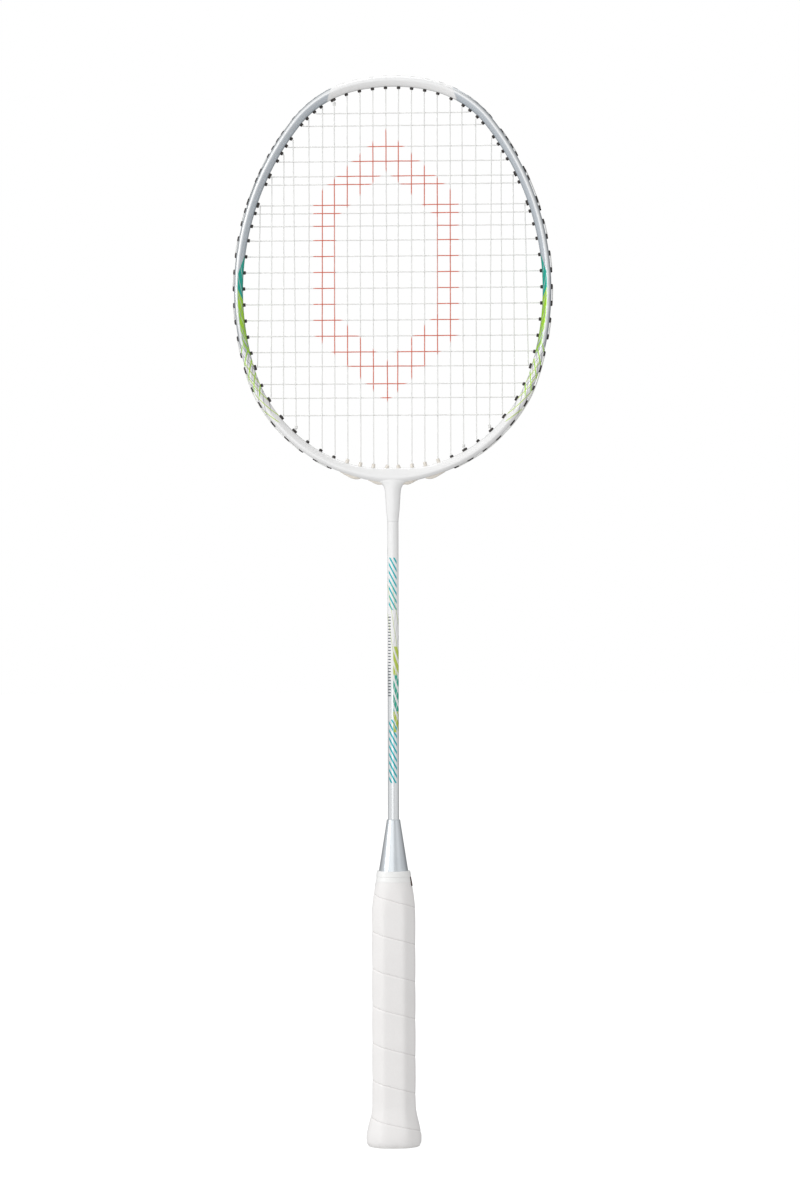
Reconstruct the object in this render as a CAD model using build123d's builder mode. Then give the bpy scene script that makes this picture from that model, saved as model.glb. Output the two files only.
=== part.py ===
"""A full-size badminton racket with strings and grip, in millimetres.

The racket stands on its butt: +Z runs from the butt up to the crown, the string bed
lies in the XZ plane and faces -Y and +Y. The origin is the middle of the butt face.
A place on the head is given by its angle: 0 at the crown, 90 at the side and 180 at
the heel, which is also how far the outward normal leans from +Z there.
"""
from build123d import *
import math
import os

os.makedirs("parts", exist_ok=True)

# Head centreline: tangent arcs from the crown, as (radius, turn in degrees) for one
# side; the heel arc closes the hoop, so its radius is worked out.
CROWN_Z = 671.5
HEAD_ARCS = ((110.0, 13.0), (65.0, 39.2), (172.0, 55.0))

# Section of the hoop: x is radial and outward, y is across the string bed
HOOP_WIDTH = 6.4
HOOP_DEPTH = 10.0
HOOP_CORNER = 2.5
GROOVE_WIDTH = 4.0
GROOVE_DEPTH = 0.5
HOOP_WALL = 1.1
SPIGOT_GAP = 0.05

# Heel joint, as angles along the head from the heel
HEEL_BLOCK = 5.5
HEEL_SPIGOT = 6.0
STEM_SECTIONS = ((421.0, 12.6, 9.4), (417.2, 10.3, 9.2), (409.0, 9.3, 8.8),
                 (401.0, 8.4, 8.1), (395.0, 7.0, 7.0))
STEM_PEG = 28.0

# Shaft
SHAFT_DIAMETER = 7.0
SHAFT_BORE = 4.8
SHAFT_TOP_Z = 395.0
SHAFT_BOTTOM_Z = 60.0
FIT_GAP = 0.05

# Cone over the top of the handle
CONE_TOP_Z = 206.2
CONE_TOP_RADIUS = 4.25
CONE_GRIP_Z = 173.7
CONE_GRIP_RADIUS = 9.25
CONE_BASE_Z = 158.0
CONE_BASE_RADIUS = 10.1
CONE_WALL = 1.2
CONE_TOP_ROUND = 0.5
NOSE_RADIUS = 8.0
NOSE_TOP_Z = 175.0

# Outside of the grip: height, width along X, depth along Y
GRIP_SECTIONS = ((1.6, 31.6, 28.6), (3.6, 33.8, 30.8), (7.0, 34.4, 31.4),
                 (14.5, 31.4, 28.4), (24.0, 26.9, 23.9), (148.0, 26.9, 23.9),
                 (158.0, 25.2, 22.7), (173.4, 20.2, 20.2))
BEVEL = 0.27
TAPE_THICKNESS = 1.9
FINISHING_BOTTOM_Z = 164.6
FINISHING_THICKNESS = 0.25
CORE_BORE_RADIUS = 6.0
CORE_BORE_TOP_Z = 50.0
BUTT_PLUG = 8.0
BUTT_CHAMFER = 1.2

# Strings: 22 mains at one pitch, 21 crosses at gaps given as (how many, gap)
MAIN_PITCH = 8.15
MAINS_A_SIDE = 11
TOP_CROSS_Z = 652.0
CROSS_GAPS = ((3, 9.7), (3, 8.2), (3, 9.0), (11, 10.05))
STRING_RADIUS = 0.34
MAIN_LANE = 0.36
CROSS_LANE = -0.36
OUTER_LANE = 1.12
CORNER_RADIUS = 0.9
BEND_RADIUS = 0.8
PASS_RADIUS = 20.0
PASS_LIFT = 0.05

# Grommets
BARREL_DIAMETER = 2.6
BARREL_BORE = 1.9
BARREL_PROUD = 1.4
MOUTH_DIAMETER = 2.5
MOUTH_DEPTH = 0.5
HOLE_GAP = 0.1
HOLE_SPACING = 5.6
SPREAD_SWEEPS = 60
SLOT_EXTRA = 1.2
FLANGE_LENGTH = 3.2
FLANGE_WIDTH = 3.4
FLANGE_THICKNESS = 0.85
FLANGE_CORNER = 0.8
BEND_CLEAR = 0.7
HEEL_HOLE = 176.2
HEEL_LEAN = 22.0
PAD_HEIGHT = 2.4
PAD_WIDTH = 3.8
PAD_CHANNEL = 1.7
PAD_FLOOR = 0.6
PAD_GAP = 0.02
PAD_BEYOND = 1.4
INNER_PAD_START = 175.8

# Knots: a rounded ring of string drawn up round a main
KNOT_RADIUS = 1.05
KNOT_BORE = 0.40
KNOT_LENGTH = 1.8
KNOT_GAP = 0.6
KNOT_ROUND = 0.4

LEFT = -1
RIGHT = 1
FLOOR = HOOP_WIDTH / 2 - GROOVE_DEPTH
TIP = HOOP_WIDTH / 2 + BARREL_PROUD
BEND = TIP + BEND_CLEAR
STRING_CLEAR = 0.16
STRING_HEIGHT = FLOOR + FLANGE_THICKNESS + STRING_RADIUS + STRING_CLEAR


def head_arcs():
    """Each arc of the right half as (start, end, radius, centre x, centre z)."""
    arcs = []
    start, x, z = 0.0, 0.0, CROWN_Z
    for radius, turn in HEAD_ARCS:
        lean = math.radians(start)
        centre_x = x - radius * math.sin(lean)
        centre_z = z - radius * math.cos(lean)
        arcs.append((start, start + turn, radius, centre_x, centre_z))
        start += turn
        lean = math.radians(start)
        x = centre_x + radius * math.sin(lean)
        z = centre_z + radius * math.cos(lean)
    radius = x / math.sin(lean)
    arcs.append((start, 180.0, radius, 0.0, z - radius * math.cos(lean)))
    return arcs


HEAD = head_arcs()
HEEL_RADIUS = HEAD[-1][2]
HEEL_CENTRE_Z = HEAD[-1][4]
HEEL_AXIS = Axis((0, 0, HEEL_CENTRE_Z), (0, 1, 0))


def head_point(angle, side=RIGHT):
    """The point (x, z) of the centreline at an angle."""
    lean = math.radians(angle)
    for start, end, radius, centre_x, centre_z in HEAD:
        if angle <= end:
            return side * (centre_x + radius * math.sin(lean)), centre_z + radius * math.cos(lean)


def section_plane(angle):
    """The plane across the right half of the hoop, x outward."""
    lean = math.radians(angle)
    x, z = head_point(angle)
    return Plane((x, 0, z), x_dir=(math.sin(lean), 0, math.cos(lean)),
                 z_dir=(math.cos(lean), 0, -math.sin(lean)))


def hole_plane(hole, side):
    """The plane on the centreline with z along the hole's axis, outward, x along the hoop."""
    angle, lean = hole
    axis = math.radians(angle - lean)
    x, z = head_point(angle, side)
    return Plane((x, 0, z), x_dir=(math.cos(axis), 0, -side * math.sin(axis)),
                 z_dir=(side * math.sin(axis), 0, math.cos(axis)))


def angle_at(target, is_main, upper):
    """The angle where a hole's inner end meets a main at x, or a cross at z, = target."""
    for start, end, radius, centre_x, centre_z in HEAD:
        reach = radius - BEND
        ratio = (target - (centre_x if is_main else centre_z)) / reach
        if abs(ratio) > 1:
            continue
        angle = math.degrees(math.asin(ratio) if is_main else math.acos(ratio))
        if is_main and not upper:
            angle = 180 - angle
        if start <= angle <= end:
            return angle


def cross_heights():
    """Heights of the crosses from the top one down."""
    heights = [TOP_CROSS_Z]
    for count, gap in CROSS_GAPS:
        for step in range(count):
            heights.append(heights[-1] - gap)
    return heights


# Holes as (angle, lean). Mains count out from the middle, crosses down from the top.
main_top = {j: angle_at((j - 0.5) * MAIN_PITCH, True, True) for j in range(1, MAINS_A_SIDE + 1)}
main_low = {j: angle_at((j - 0.5) * MAIN_PITCH, True, False) for j in range(2, MAINS_A_SIDE + 1)}
main_low[1] = HEEL_HOLE
cross = {k + 1: angle_at(z, False, True) for k, z in enumerate(cross_heights())}

# A main and a cross that end close together share one wide hole between them
SHARED_TOP = ((10, 5), (11, 7))
SHARED_LOW = ((9, 21), (10, 20), (11, 18))
for mains, pairs in ((main_top, SHARED_TOP), (main_low, SHARED_LOW)):
    for j, k in pairs:
        middle = (mains[j] + cross[k]) / 2
        mains[j] = middle
        cross[k] = middle


def spread(angles):
    """Where each hole goes once crowded neighbours have been moved apart along the hoop."""
    places = sorted(angles)
    for sweep_number in range(SPREAD_SWEEPS):
        for k in range(len(places) - 1):
            radius = next(arc[2] for arc in HEAD if places[k] <= arc[1])
            lack = HOLE_SPACING - radius * math.radians(places[k + 1] - places[k])
            if lack > 0:
                turn = math.degrees(lack / 2 / radius)
                places[k] -= turn
                places[k + 1] += turn
    return dict(zip(sorted(angles), places))


moved = spread(set(main_top.values()) | set(main_low.values()) | set(cross.values()))
main_top = {j: (moved[angle], 0.0) for j, angle in main_top.items()}
main_low = {j: (moved[angle], HEEL_LEAN if j == 1 else 0.0) for j, angle in main_low.items()}
cross = {k: (moved[angle], 0.0) for k, angle in cross.items()}

holes = sorted(set(main_top.values()) | set(main_low.values()) | set(cross.values()))
shared = sorted({main_top[j] for j, k in SHARED_TOP} | {main_low[j] for j, k in SHARED_LOW})
TIE_TOP = (main_top[5], LEFT)
TIE_LOW_LEFT = (main_low[8], LEFT)
TIE_LOW_RIGHT = (main_low[8], RIGHT)
TIE_START = (main_low[6], RIGHT)
ties = (TIE_TOP, TIE_LOW_LEFT, TIE_LOW_RIGHT, TIE_START)
wide = [(hole, side) for hole in shared for side in (LEFT, RIGHT)] + list(ties)
plain = [(hole, side) for hole in holes for side in (LEFT, RIGHT) if (hole, side) not in wide]


def hoop_outline(hollow):
    """The hoop's section: a rounded box with a string groove, and a bore if hollow."""
    RectangleRounded(HOOP_WIDTH, HOOP_DEPTH, HOOP_CORNER)
    with Locations((HOOP_WIDTH / 2, 0)):
        Rectangle(2 * GROOVE_DEPTH, GROOVE_WIDTH, mode=Mode.SUBTRACT)
    if hollow:
        bore_outline(0, Mode.SUBTRACT)


def bore_outline(gap, mode):
    """The hoop's bore, smaller by a gap on every side."""
    inner = -HOOP_WIDTH / 2 + HOOP_WALL
    outer = FLOOR - HOOP_WALL
    with Locations(((inner + outer) / 2, 0)):
        RectangleRounded(outer - inner - 2 * gap, HOOP_DEPTH - 2 * HOOP_WALL - 2 * gap,
                         HOOP_CORNER - HOOP_WALL, mode=mode)


def drill_holes(chosen, extra=0.0):
    """Cut grommet holes through the part being made, as slots if longer by an extra."""
    diameter = BARREL_DIAMETER + HOLE_GAP
    with BuildSketch(*[hole_plane(hole, side).offset(-HOOP_WIDTH) for hole, side in chosen]) as cuts:
        if extra:
            SlotOverall(diameter + extra, diameter)
        else:
            Circle(diameter / 2)
    extrude(cuts.sketch, amount=2 * HOOP_WIDTH, mode=Mode.SUBTRACT)


def finish(part, name):
    """Label a piece and write its STEP file."""
    part.label = name
    export_step(part, f"parts/{name}.step")


# --- Head frame: a hollow hoop, open at the heel, drilled for the grommets ---
with BuildPart() as head_frame:
    for start, end, radius, centre_x, centre_z in HEAD:
        last = min(end, 180 - HEEL_BLOCK)
        with BuildSketch(section_plane(start)):
            hoop_outline(hollow=True)
        revolve(axis=Axis((centre_x, 0, centre_z), (0, 1, 0)), revolution_arc=last - start)
    mirror(about=Plane.YZ)
    drill_holes([(hole, side) for hole, side in plain if hole != main_low[1]])
    drill_holes(wide, SLOT_EXTRA)
finish(head_frame.part, "head_frame")

# --- T joint: heel block with curved spigots into the hoop and a peg into the shaft ---
with BuildPart() as t_joint:
    with BuildSketch(section_plane(180 - HEEL_BLOCK)):
        hoop_outline(hollow=False)
    revolve(axis=HEEL_AXIS, revolution_arc=2 * HEEL_BLOCK)
    with BuildSketch(section_plane(180 - HEEL_BLOCK - HEEL_SPIGOT)):
        bore_outline(SPIGOT_GAP, Mode.ADD)
    revolve(axis=HEEL_AXIS, revolution_arc=2 * (HEEL_BLOCK + HEEL_SPIGOT))
    for z, width, depth in STEM_SECTIONS:
        with BuildSketch(Plane.XY.offset(z)):
            Ellipse(width / 2, depth / 2)
    loft()
    with Locations((0, 0, SHAFT_TOP_Z)):
        Cylinder(SHAFT_BORE / 2 - FIT_GAP, STEM_PEG, align=(Align.CENTER, Align.CENTER, Align.MAX))
    drill_holes([(main_low[j], side) for j in (1, 2) for side in (LEFT, RIGHT)])
finish(t_joint.part, "t_joint")

# --- Shaft: a plain carbon tube from the T joint down into the handle ---
with BuildPart() as shaft:
    with BuildSketch(Plane.XY.offset(SHAFT_BOTTOM_Z)):
        Circle(SHAFT_DIAMETER / 2)
        Circle(SHAFT_BORE / 2, mode=Mode.SUBTRACT)
    extrude(amount=SHAFT_TOP_Z - SHAFT_BOTTOM_Z)
finish(shaft.part, "shaft")


def cone_side(offset):
    """Radius and height points down the outside of the cone, grown by an offset."""
    return ((CONE_TOP_RADIUS + offset, CONE_TOP_Z), (CONE_GRIP_RADIUS + offset, CONE_GRIP_Z),
            (CONE_BASE_RADIUS + offset, CONE_BASE_Z))


# --- Cone cap: a thin moulded cone that closes the handle round the shaft ---
with BuildPart() as cone_cap:
    with BuildSketch(Plane.XZ):
        with BuildLine():
            bore = SHAFT_DIAMETER / 2 + FIT_GAP
            nose = NOSE_RADIUS + FIT_GAP
            Polyline((bore, CONE_TOP_Z), *cone_side(0), (nose, CONE_BASE_Z), (nose, NOSE_TOP_Z),
                     (nose - CONE_WALL, NOSE_TOP_Z), (bore, CONE_TOP_Z - 2 * CONE_WALL), close=True)
        make_face()
    revolve(axis=Axis.Z)
    fillet(cone_cap.edges().group_by(Axis.Z)[-1].sort_by(SortBy.RADIUS)[-1], CONE_TOP_ROUND)
finish(cone_cap.part, "cone_cap")


def octagon(width, depth):
    """A bevelled rectangle, the handle's section."""
    bevel = BEVEL * width
    half_x, half_y = width / 2, depth / 2
    corners = [(half_x, half_y - bevel), (half_x - bevel, half_y)]
    corners += [(-x, y) for x, y in reversed(corners)]
    corners += [(-x, -y) for x, y in corners]
    Polygon(*corners, align=None)


def grip_size(z):
    """Width and depth of the outside of the grip at a height."""
    for low, high in zip(GRIP_SECTIONS, GRIP_SECTIONS[1:]):
        if z <= high[0]:
            part = (z - low[0]) / (high[0] - low[0])
            return tuple(a + part * (b - a) for a, b in zip(low[1:], high[1:]))


def handle_solid(bottom, top, inset):
    """The grip's outer shape between two heights, taken in by an inset all round."""
    levels = [bottom] + [z for z, width, depth in GRIP_SECTIONS if bottom < z < top] + [top]
    sections = []
    for z in levels:
        width, depth = grip_size(z)
        with BuildSketch(Plane.XY.offset(z)) as level:
            octagon(width - 2 * inset, depth - 2 * inset)
        sections.append(level.sketch)
    loft(sections, ruled=True)


# --- Handle core: an octagonal wooden handle, flared at the butt, bored for the shaft ---
BUTT_Z = GRIP_SECTIONS[0][0]
with BuildPart() as handle_core:
    handle_solid(BUTT_Z, CONE_BASE_Z, TAPE_THICKNESS)
    with Locations((0, 0, CONE_BASE_Z)):
        Cylinder(NOSE_RADIUS, NOSE_TOP_Z - CONE_BASE_Z, align=(Align.CENTER, Align.CENTER, Align.MIN))
    with Locations((0, 0, SHAFT_BOTTOM_Z)):
        Cylinder(SHAFT_DIAMETER / 2 + FIT_GAP, NOSE_TOP_Z, mode=Mode.SUBTRACT,
                 align=(Align.CENTER, Align.CENTER, Align.MIN))
    with Locations((0, 0, BUTT_Z)):
        Cylinder(CORE_BORE_RADIUS, CORE_BORE_TOP_Z, mode=Mode.SUBTRACT,
                 align=(Align.CENTER, Align.CENTER, Align.MIN))
finish(handle_core.part, "handle_core")

# --- Butt cap: an end plate with a plug in the core ---
with BuildPart() as butt_cap:
    width, depth = grip_size(BUTT_Z)
    with BuildSketch():
        octagon(width, depth)
    extrude(amount=BUTT_Z)
    chamfer(butt_cap.edges().group_by(Axis.Z)[0], BUTT_CHAMFER)
    with Locations((0, 0, BUTT_Z)):
        Cylinder(CORE_BORE_RADIUS - FIT_GAP, BUTT_PLUG, align=(Align.CENTER, Align.CENTER, Align.MIN))
finish(butt_cap.part, "butt_cap")

# --- Grip tape: a sleeve over the core and the foot of the cone ---
GRIP_TOP_Z = GRIP_SECTIONS[-1][0]
with BuildPart() as grip_hollow:
    handle_solid(BUTT_Z, CONE_BASE_Z, TAPE_THICKNESS)
    with BuildSketch(Plane.XZ):
        with BuildLine():
            Polyline((0, CONE_TOP_Z), *cone_side(FIT_GAP), (0, CONE_BASE_Z), close=True)
        make_face()
    revolve(axis=Axis.Z)
with BuildPart() as grip_tape:
    handle_solid(BUTT_Z, GRIP_TOP_Z, 0)
    add(grip_hollow.part, mode=Mode.SUBTRACT)
finish(grip_tape.part, "grip_tape")

# --- Finishing tape: a thin band round the top edge of the grip ---
with BuildPart() as finishing_tape:
    handle_solid(FINISHING_BOTTOM_Z, GRIP_TOP_Z, -FINISHING_THICKNESS)
    add(grip_tape.part, mode=Mode.SUBTRACT)
    add(grip_hollow.part, mode=Mode.SUBTRACT)
finish(finishing_tape.part, "finishing_tape")


# --- Grommets: a flange in the groove and a barrel through the hoop at each hole ---
def grommets(name, chosen):
    """A group of grommets at the chosen holes, each one a separate solid."""
    planes = [hole_plane(hole, side) for hole, side in chosen]
    extra = SLOT_EXTRA if chosen[0] in wide else 0
    with BuildPart() as group:
        with BuildSketch(*[plane.offset(-TIP) for plane in planes]):
            if extra:
                SlotOverall(BARREL_DIAMETER + extra, BARREL_DIAMETER)
            else:
                Circle(BARREL_DIAMETER / 2)
        extrude(amount=TIP + FLOOR)
        with BuildSketch(*[plane.offset(FLOOR) for plane in planes]):
            RectangleRounded(FLANGE_LENGTH + extra, FLANGE_WIDTH, FLANGE_CORNER)
        extrude(amount=FLANGE_THICKNESS)
        mouth = FLOOR + FLANGE_THICKNESS - MOUTH_DEPTH
        for start, diameter in ((-HOOP_WIDTH, BARREL_BORE), (mouth, MOUTH_DIAMETER)):
            with BuildSketch(*[plane.offset(start) for plane in planes]):
                if extra:
                    SlotOverall(diameter + extra, diameter)
                else:
                    Circle(diameter / 2)
            extrude(amount=2 * HOOP_WIDTH, mode=Mode.SUBTRACT)
    finish(group.part, name)


crown = [main_top[j] for j in (1, 2, 3, 4, 5)]
shoulder = [hole for hole in holes if main_top[6][0] <= hole[0] <= cross[7][0] and hole not in shared]
flank = [hole for hole in holes if cross[8][0] <= hole[0] <= cross[19][0] and hole not in shared]
lower = [main_low[j] for j in (5, 6, 7, 8)]
grommets("crown_grommets", [entry for entry in plain if entry[0] in crown])
for side, word in ((LEFT, "left"), (RIGHT, "right")):
    grommets(f"shoulder_grommets_{word}", [(hole, side) for hole in shoulder])
    grommets(f"side_grommets_{word}", [(hole, side) for hole in flank])
    grommets(f"lower_grommets_{word}", [(hole, side) for hole in lower if (hole, side) in plain])
    grommets(f"shared_grommets_{word}", [(hole, side) for hole in shared])
grommets("tie_off_grommets", list(ties))


# --- Heel strips: two clear barrels joined by a padded base that carries the string ---
def heel_strip(name, start, inner, outer, side):
    """A two-barrel strip between two heel holes, its pad curved out from the groove."""
    ends = (start, outer[0] - PAD_BEYOND)
    base = HEEL_RADIUS + FLOOR + PAD_GAP
    middle = sum(ends) / 2

    def at(angle, radius):
        lean = math.radians(angle)
        return side * radius * math.sin(lean), HEEL_CENTRE_Z + radius * math.cos(lean)

    with BuildPart() as strip:
        with BuildSketch(Plane.XZ):
            with BuildLine():
                ThreePointArc(at(ends[0], base), at(middle, base), at(ends[1], base))
                Line(at(ends[0], base), at(ends[0], base + FLANGE_THICKNESS))
                Line(at(ends[1], base), at(ends[1], base + FLANGE_THICKNESS))
                ThreePointArc(at(ends[0], base + FLANGE_THICKNESS), at(middle, base + PAD_HEIGHT),
                              at(ends[1], base + FLANGE_THICKNESS))
            make_face()
        extrude(amount=PAD_WIDTH / 2, both=True)
        with BuildSketch(Plane.XZ):
            with Locations((0, HEEL_CENTRE_Z)):
                Circle(base + PAD_HEIGHT + 1)
                Circle(base + PAD_FLOOR, mode=Mode.SUBTRACT)
        extrude(amount=PAD_CHANNEL / 2, both=True, mode=Mode.SUBTRACT)
        planes = [hole_plane(inner, side), hole_plane(outer, side)]
        with BuildSketch(*[plane.offset(-TIP) for plane in planes]):
            Circle(BARREL_DIAMETER / 2)
        extrude(amount=TIP + FLOOR + PAD_FLOOR / 2)
        with BuildSketch(*[plane.offset(-HOOP_WIDTH) for plane in planes]):
            Circle(BARREL_BORE / 2)
        extrude(amount=2 * HOOP_WIDTH, mode=Mode.SUBTRACT)
    finish(strip.part, name)


for side, word in ((LEFT, "left"), (RIGHT, "right")):
    heel_strip(f"heel_strip_inner_{word}", INNER_PAD_START, main_low[1], main_low[2], side)
    heel_strip(f"heel_strip_outer_{word}", main_low[3][0] + PAD_BEYOND, main_low[3], main_low[4], side)


# --- Strings: each is one length, out of a hole, along the groove and in at the next ---
def string_point(hole, side, lane, height):
    """A point at a height over the centreline on a hole's axis, in a lane across the bed."""
    angle, lean = hole
    local = (0, 0, height / math.cos(math.radians(lean)))
    point = hole_plane(hole, side).from_local_coords(local)
    return Vector(point.X, lane, point.Z)


def go_in(hole, side, lane):
    """The corner over a hole and the bend at its inner end."""
    return [(string_point(hole, side, lane, STRING_HEIGHT), CORNER_RADIUS),
            (string_point(hole, side, lane, -BEND), BEND_RADIUS)]


def go_out(hole, side, lane):
    """The same two points, from the inside out."""
    return go_in(hole, side, lane)[::-1]


def pass_over(first, last, side, lane):
    """The points over the holes that a bridge in the groove passes."""
    low, high = sorted((first[0], last[0]))
    passed = [hole for hole in holes if low < hole[0] < high]
    if first[0] > last[0]:
        passed.reverse()
    return [(string_point(hole, side, lane, STRING_HEIGHT + PASS_LIFT), PASS_RADIUS) for hole in passed]


def mains_half(side):
    """The main string from the crown out to its tie-off on one side."""
    route = []
    for j in range(1, MAINS_A_SIDE + 1):
        downward = j % 2 == 1
        first, last = (main_top[j], main_low[j]) if downward else (main_low[j], main_top[j])
        route += go_in(first, side, MAIN_LANE) + go_out(last, side, MAIN_LANE)
        if j < MAINS_A_SIDE:
            following = (main_low if downward else main_top)[j + 1]
            route += pass_over(last, following, side, MAIN_LANE)
    route += pass_over(main_low[MAINS_A_SIDE], main_low[8], side, OUTER_LANE)
    return route + go_in(main_low[8], side, CROSS_LANE)


def crosses():
    """The cross string from its starting knot at the heel up to its tie-off at the crown."""
    route = go_out(main_low[6], RIGHT, CROSS_LANE)
    route += pass_over(main_low[6], cross[21], RIGHT, -OUTER_LANE)
    for k in range(21, 0, -1):
        side = RIGHT if k % 2 == 1 else LEFT
        route += go_in(cross[k], side, CROSS_LANE) + go_out(cross[k], -side, CROSS_LANE)
        following = cross[k - 1] if k > 1 else main_top[5]
        route += pass_over(cross[k], following, -side, CROSS_LANE)
    return route + go_in(main_top[5], LEFT, CROSS_LANE)


def string(name, route):
    """Sweep the string's section along straight runs and tangent arcs."""
    points = [point for point, radius in route]
    radii = [radius for point, radius in route[1:-1]]
    with BuildPart() as piece:
        with BuildLine():
            path = FilletPolyline(*points, radius=radii)
        with BuildSketch(Plane(path @ 0, z_dir=path % 0)):
            Circle(STRING_RADIUS)
        sweep()
    expected = math.pi * STRING_RADIUS ** 2 * path.length
    print(name, "length", round(path.length, 1), "volume ratio", round(piece.part.volume / expected, 4))
    finish(piece.part, name)


string("main_string", mains_half(RIGHT)[::-1] + mains_half(LEFT))
string("cross_string", crosses())


# --- Knots: a ring of string drawn tight on a main beside its grommet ---
def knot(name, hole, far_hole, side):
    """A rounded ring on the main that runs from a hole to the one at its other end."""
    start = string_point(hole, side, MAIN_LANE, -BEND)
    end = string_point(far_hole, side, MAIN_LANE, -BEND)
    along = (end - start).normalized()
    with BuildPart() as ring:
        with BuildSketch(Plane(start + along * KNOT_GAP, z_dir=along)):
            Circle(KNOT_RADIUS)
            Circle(KNOT_BORE, mode=Mode.SUBTRACT)
        extrude(amount=KNOT_LENGTH)
        fillet(ring.edges().filter_by(GeomType.CIRCLE).sort_by(SortBy.RADIUS)[-2:], KNOT_ROUND)
    finish(ring.part, name)


knot("main_knot_left", main_low[8], main_top[8], LEFT)
knot("main_knot_right", main_low[8], main_top[8], RIGHT)
knot("cross_start_knot", main_low[6], main_top[6], RIGHT)
knot("cross_end_knot", main_top[5], main_low[5], LEFT)
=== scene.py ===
"""A strung badminton racket: its visual model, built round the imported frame.

Lengths are metres. The racket stands on its butt, +Z up to the crown, with the string
bed in the XZ plane. A place on the head is given by its angle: 0 at the crown, 90 at the
side, 180 at the heel, which is how far the outward normal leans from +Z there.
"""
import logging
import math
from dataclasses import dataclass
from enum import Enum

import bmesh
import bpy
import numpy as np
from bpy.types import Material, NodeSocket, NodeTree, Object
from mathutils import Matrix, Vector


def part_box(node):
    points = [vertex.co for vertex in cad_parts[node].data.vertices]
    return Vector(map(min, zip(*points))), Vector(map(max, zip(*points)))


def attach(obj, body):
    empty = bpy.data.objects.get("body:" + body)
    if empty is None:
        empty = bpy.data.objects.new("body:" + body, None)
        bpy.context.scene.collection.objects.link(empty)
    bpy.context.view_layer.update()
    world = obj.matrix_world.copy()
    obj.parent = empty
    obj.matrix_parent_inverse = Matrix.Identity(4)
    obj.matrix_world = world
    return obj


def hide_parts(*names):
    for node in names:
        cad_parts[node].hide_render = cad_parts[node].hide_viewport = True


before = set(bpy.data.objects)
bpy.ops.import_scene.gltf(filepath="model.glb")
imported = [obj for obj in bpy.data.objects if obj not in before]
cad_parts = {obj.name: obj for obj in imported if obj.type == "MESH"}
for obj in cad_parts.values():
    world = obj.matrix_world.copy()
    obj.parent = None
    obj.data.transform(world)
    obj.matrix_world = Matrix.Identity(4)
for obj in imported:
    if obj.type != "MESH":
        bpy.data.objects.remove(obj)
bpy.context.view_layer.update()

logging.basicConfig(level=logging.INFO, format="%(name)s: %(message)s")
log = logging.getLogger("racket")

# a millimetre, the frame's only body, the distance within which points are merged, and
# the clearance kept between faces that nearly touch
MM = 0.001
BODY = "root"
WELD = 1e-6
HAIR = 0.02 * MM


class Side(Enum):
    """The half of the head a hole is in, as the sign of its x."""

    LEFT = -1
    RIGHT = 1


class Face(Enum):
    """The layer a string lies in, as its y in metres."""

    MAIN = 0.36 * MM
    CROSS = -0.36 * MM
    OUTER_BACK = 1.12 * MM
    OUTER_FRONT = -1.12 * MM


# ------ shapes


def through(x: np.ndarray, stations: tuple) -> np.ndarray:
    """A smooth curve through stations that never overshoots them.

    Between two stations it is a cubic whose end slopes are the harmonic mean of the
    slopes on either side, or level where those have opposite signs.

    Args:
        x: where to read the curve.
        stations: pairs of place and value, in order of place.

    Returns:
        The values at x.
    """
    places, values = np.array(stations, float).T
    step = np.diff(places)
    slope = np.diff(values) / step
    both = slope[:-1] * slope[1:]
    total = slope[:-1] + slope[1:]
    mean = np.where(both > 0, 2 * both / np.where(total == 0, 1, total), 0)
    ends = np.concatenate([slope[:1], mean, slope[-1:]])
    k = np.clip(np.searchsorted(places, x) - 1, 0, len(step) - 1)
    t = np.clip((x - places[k]) / step[k], 0, 1)
    rise = values[k] * (1 + 2 * t) * (1 - t) ** 2 + values[k + 1] * t ** 2 * (3 - 2 * t)
    return rise + step[k] * (ends[k] * t * (1 - t) ** 2 - ends[k + 1] * t ** 2 * (1 - t))


def spline(control: np.ndarray, samples: int) -> np.ndarray:
    """Points on the quadratic B-spline of a control polygon.

    Each inner control point bends one parabola, from the middle of the run before it to
    the middle of the run after it; the two ends are kept.

    Args:
        control: n by 3 control points.
        samples: points on each parabola.

    Returns:
        The points, one row each.
    """
    middle = (control[:-1] + control[1:]) / 2
    t = (np.arange(samples) / samples)[None, :, None]
    start, bend, end = middle[:-1, None], control[1:-1, None], middle[1:, None]
    curve = (1 - t) ** 2 * start + 2 * t * (1 - t) * bend + t ** 2 * end
    return np.vstack([control[:1], curve.reshape(-1, 3), middle[-1:], control[-1:]])


def circle(count: int) -> np.ndarray:
    """Equal turns round a circle, in radians."""
    return np.arange(count) / count * 2 * math.pi


def polar(radius: np.ndarray, turn: np.ndarray, height: np.ndarray) -> np.ndarray:
    """Points round the Z axis; the three arrays spread to one shape."""
    return np.stack(np.broadcast_arrays(radius * np.cos(turn), radius * np.sin(turn), height), -1)


def rounded(value: np.ndarray, exponent: float) -> np.ndarray:
    """A cosine or a sine bent from a circle's to a superellipse's; 2 leaves it round."""
    return np.sign(value) * np.abs(value) ** (2 / exponent)


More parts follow.
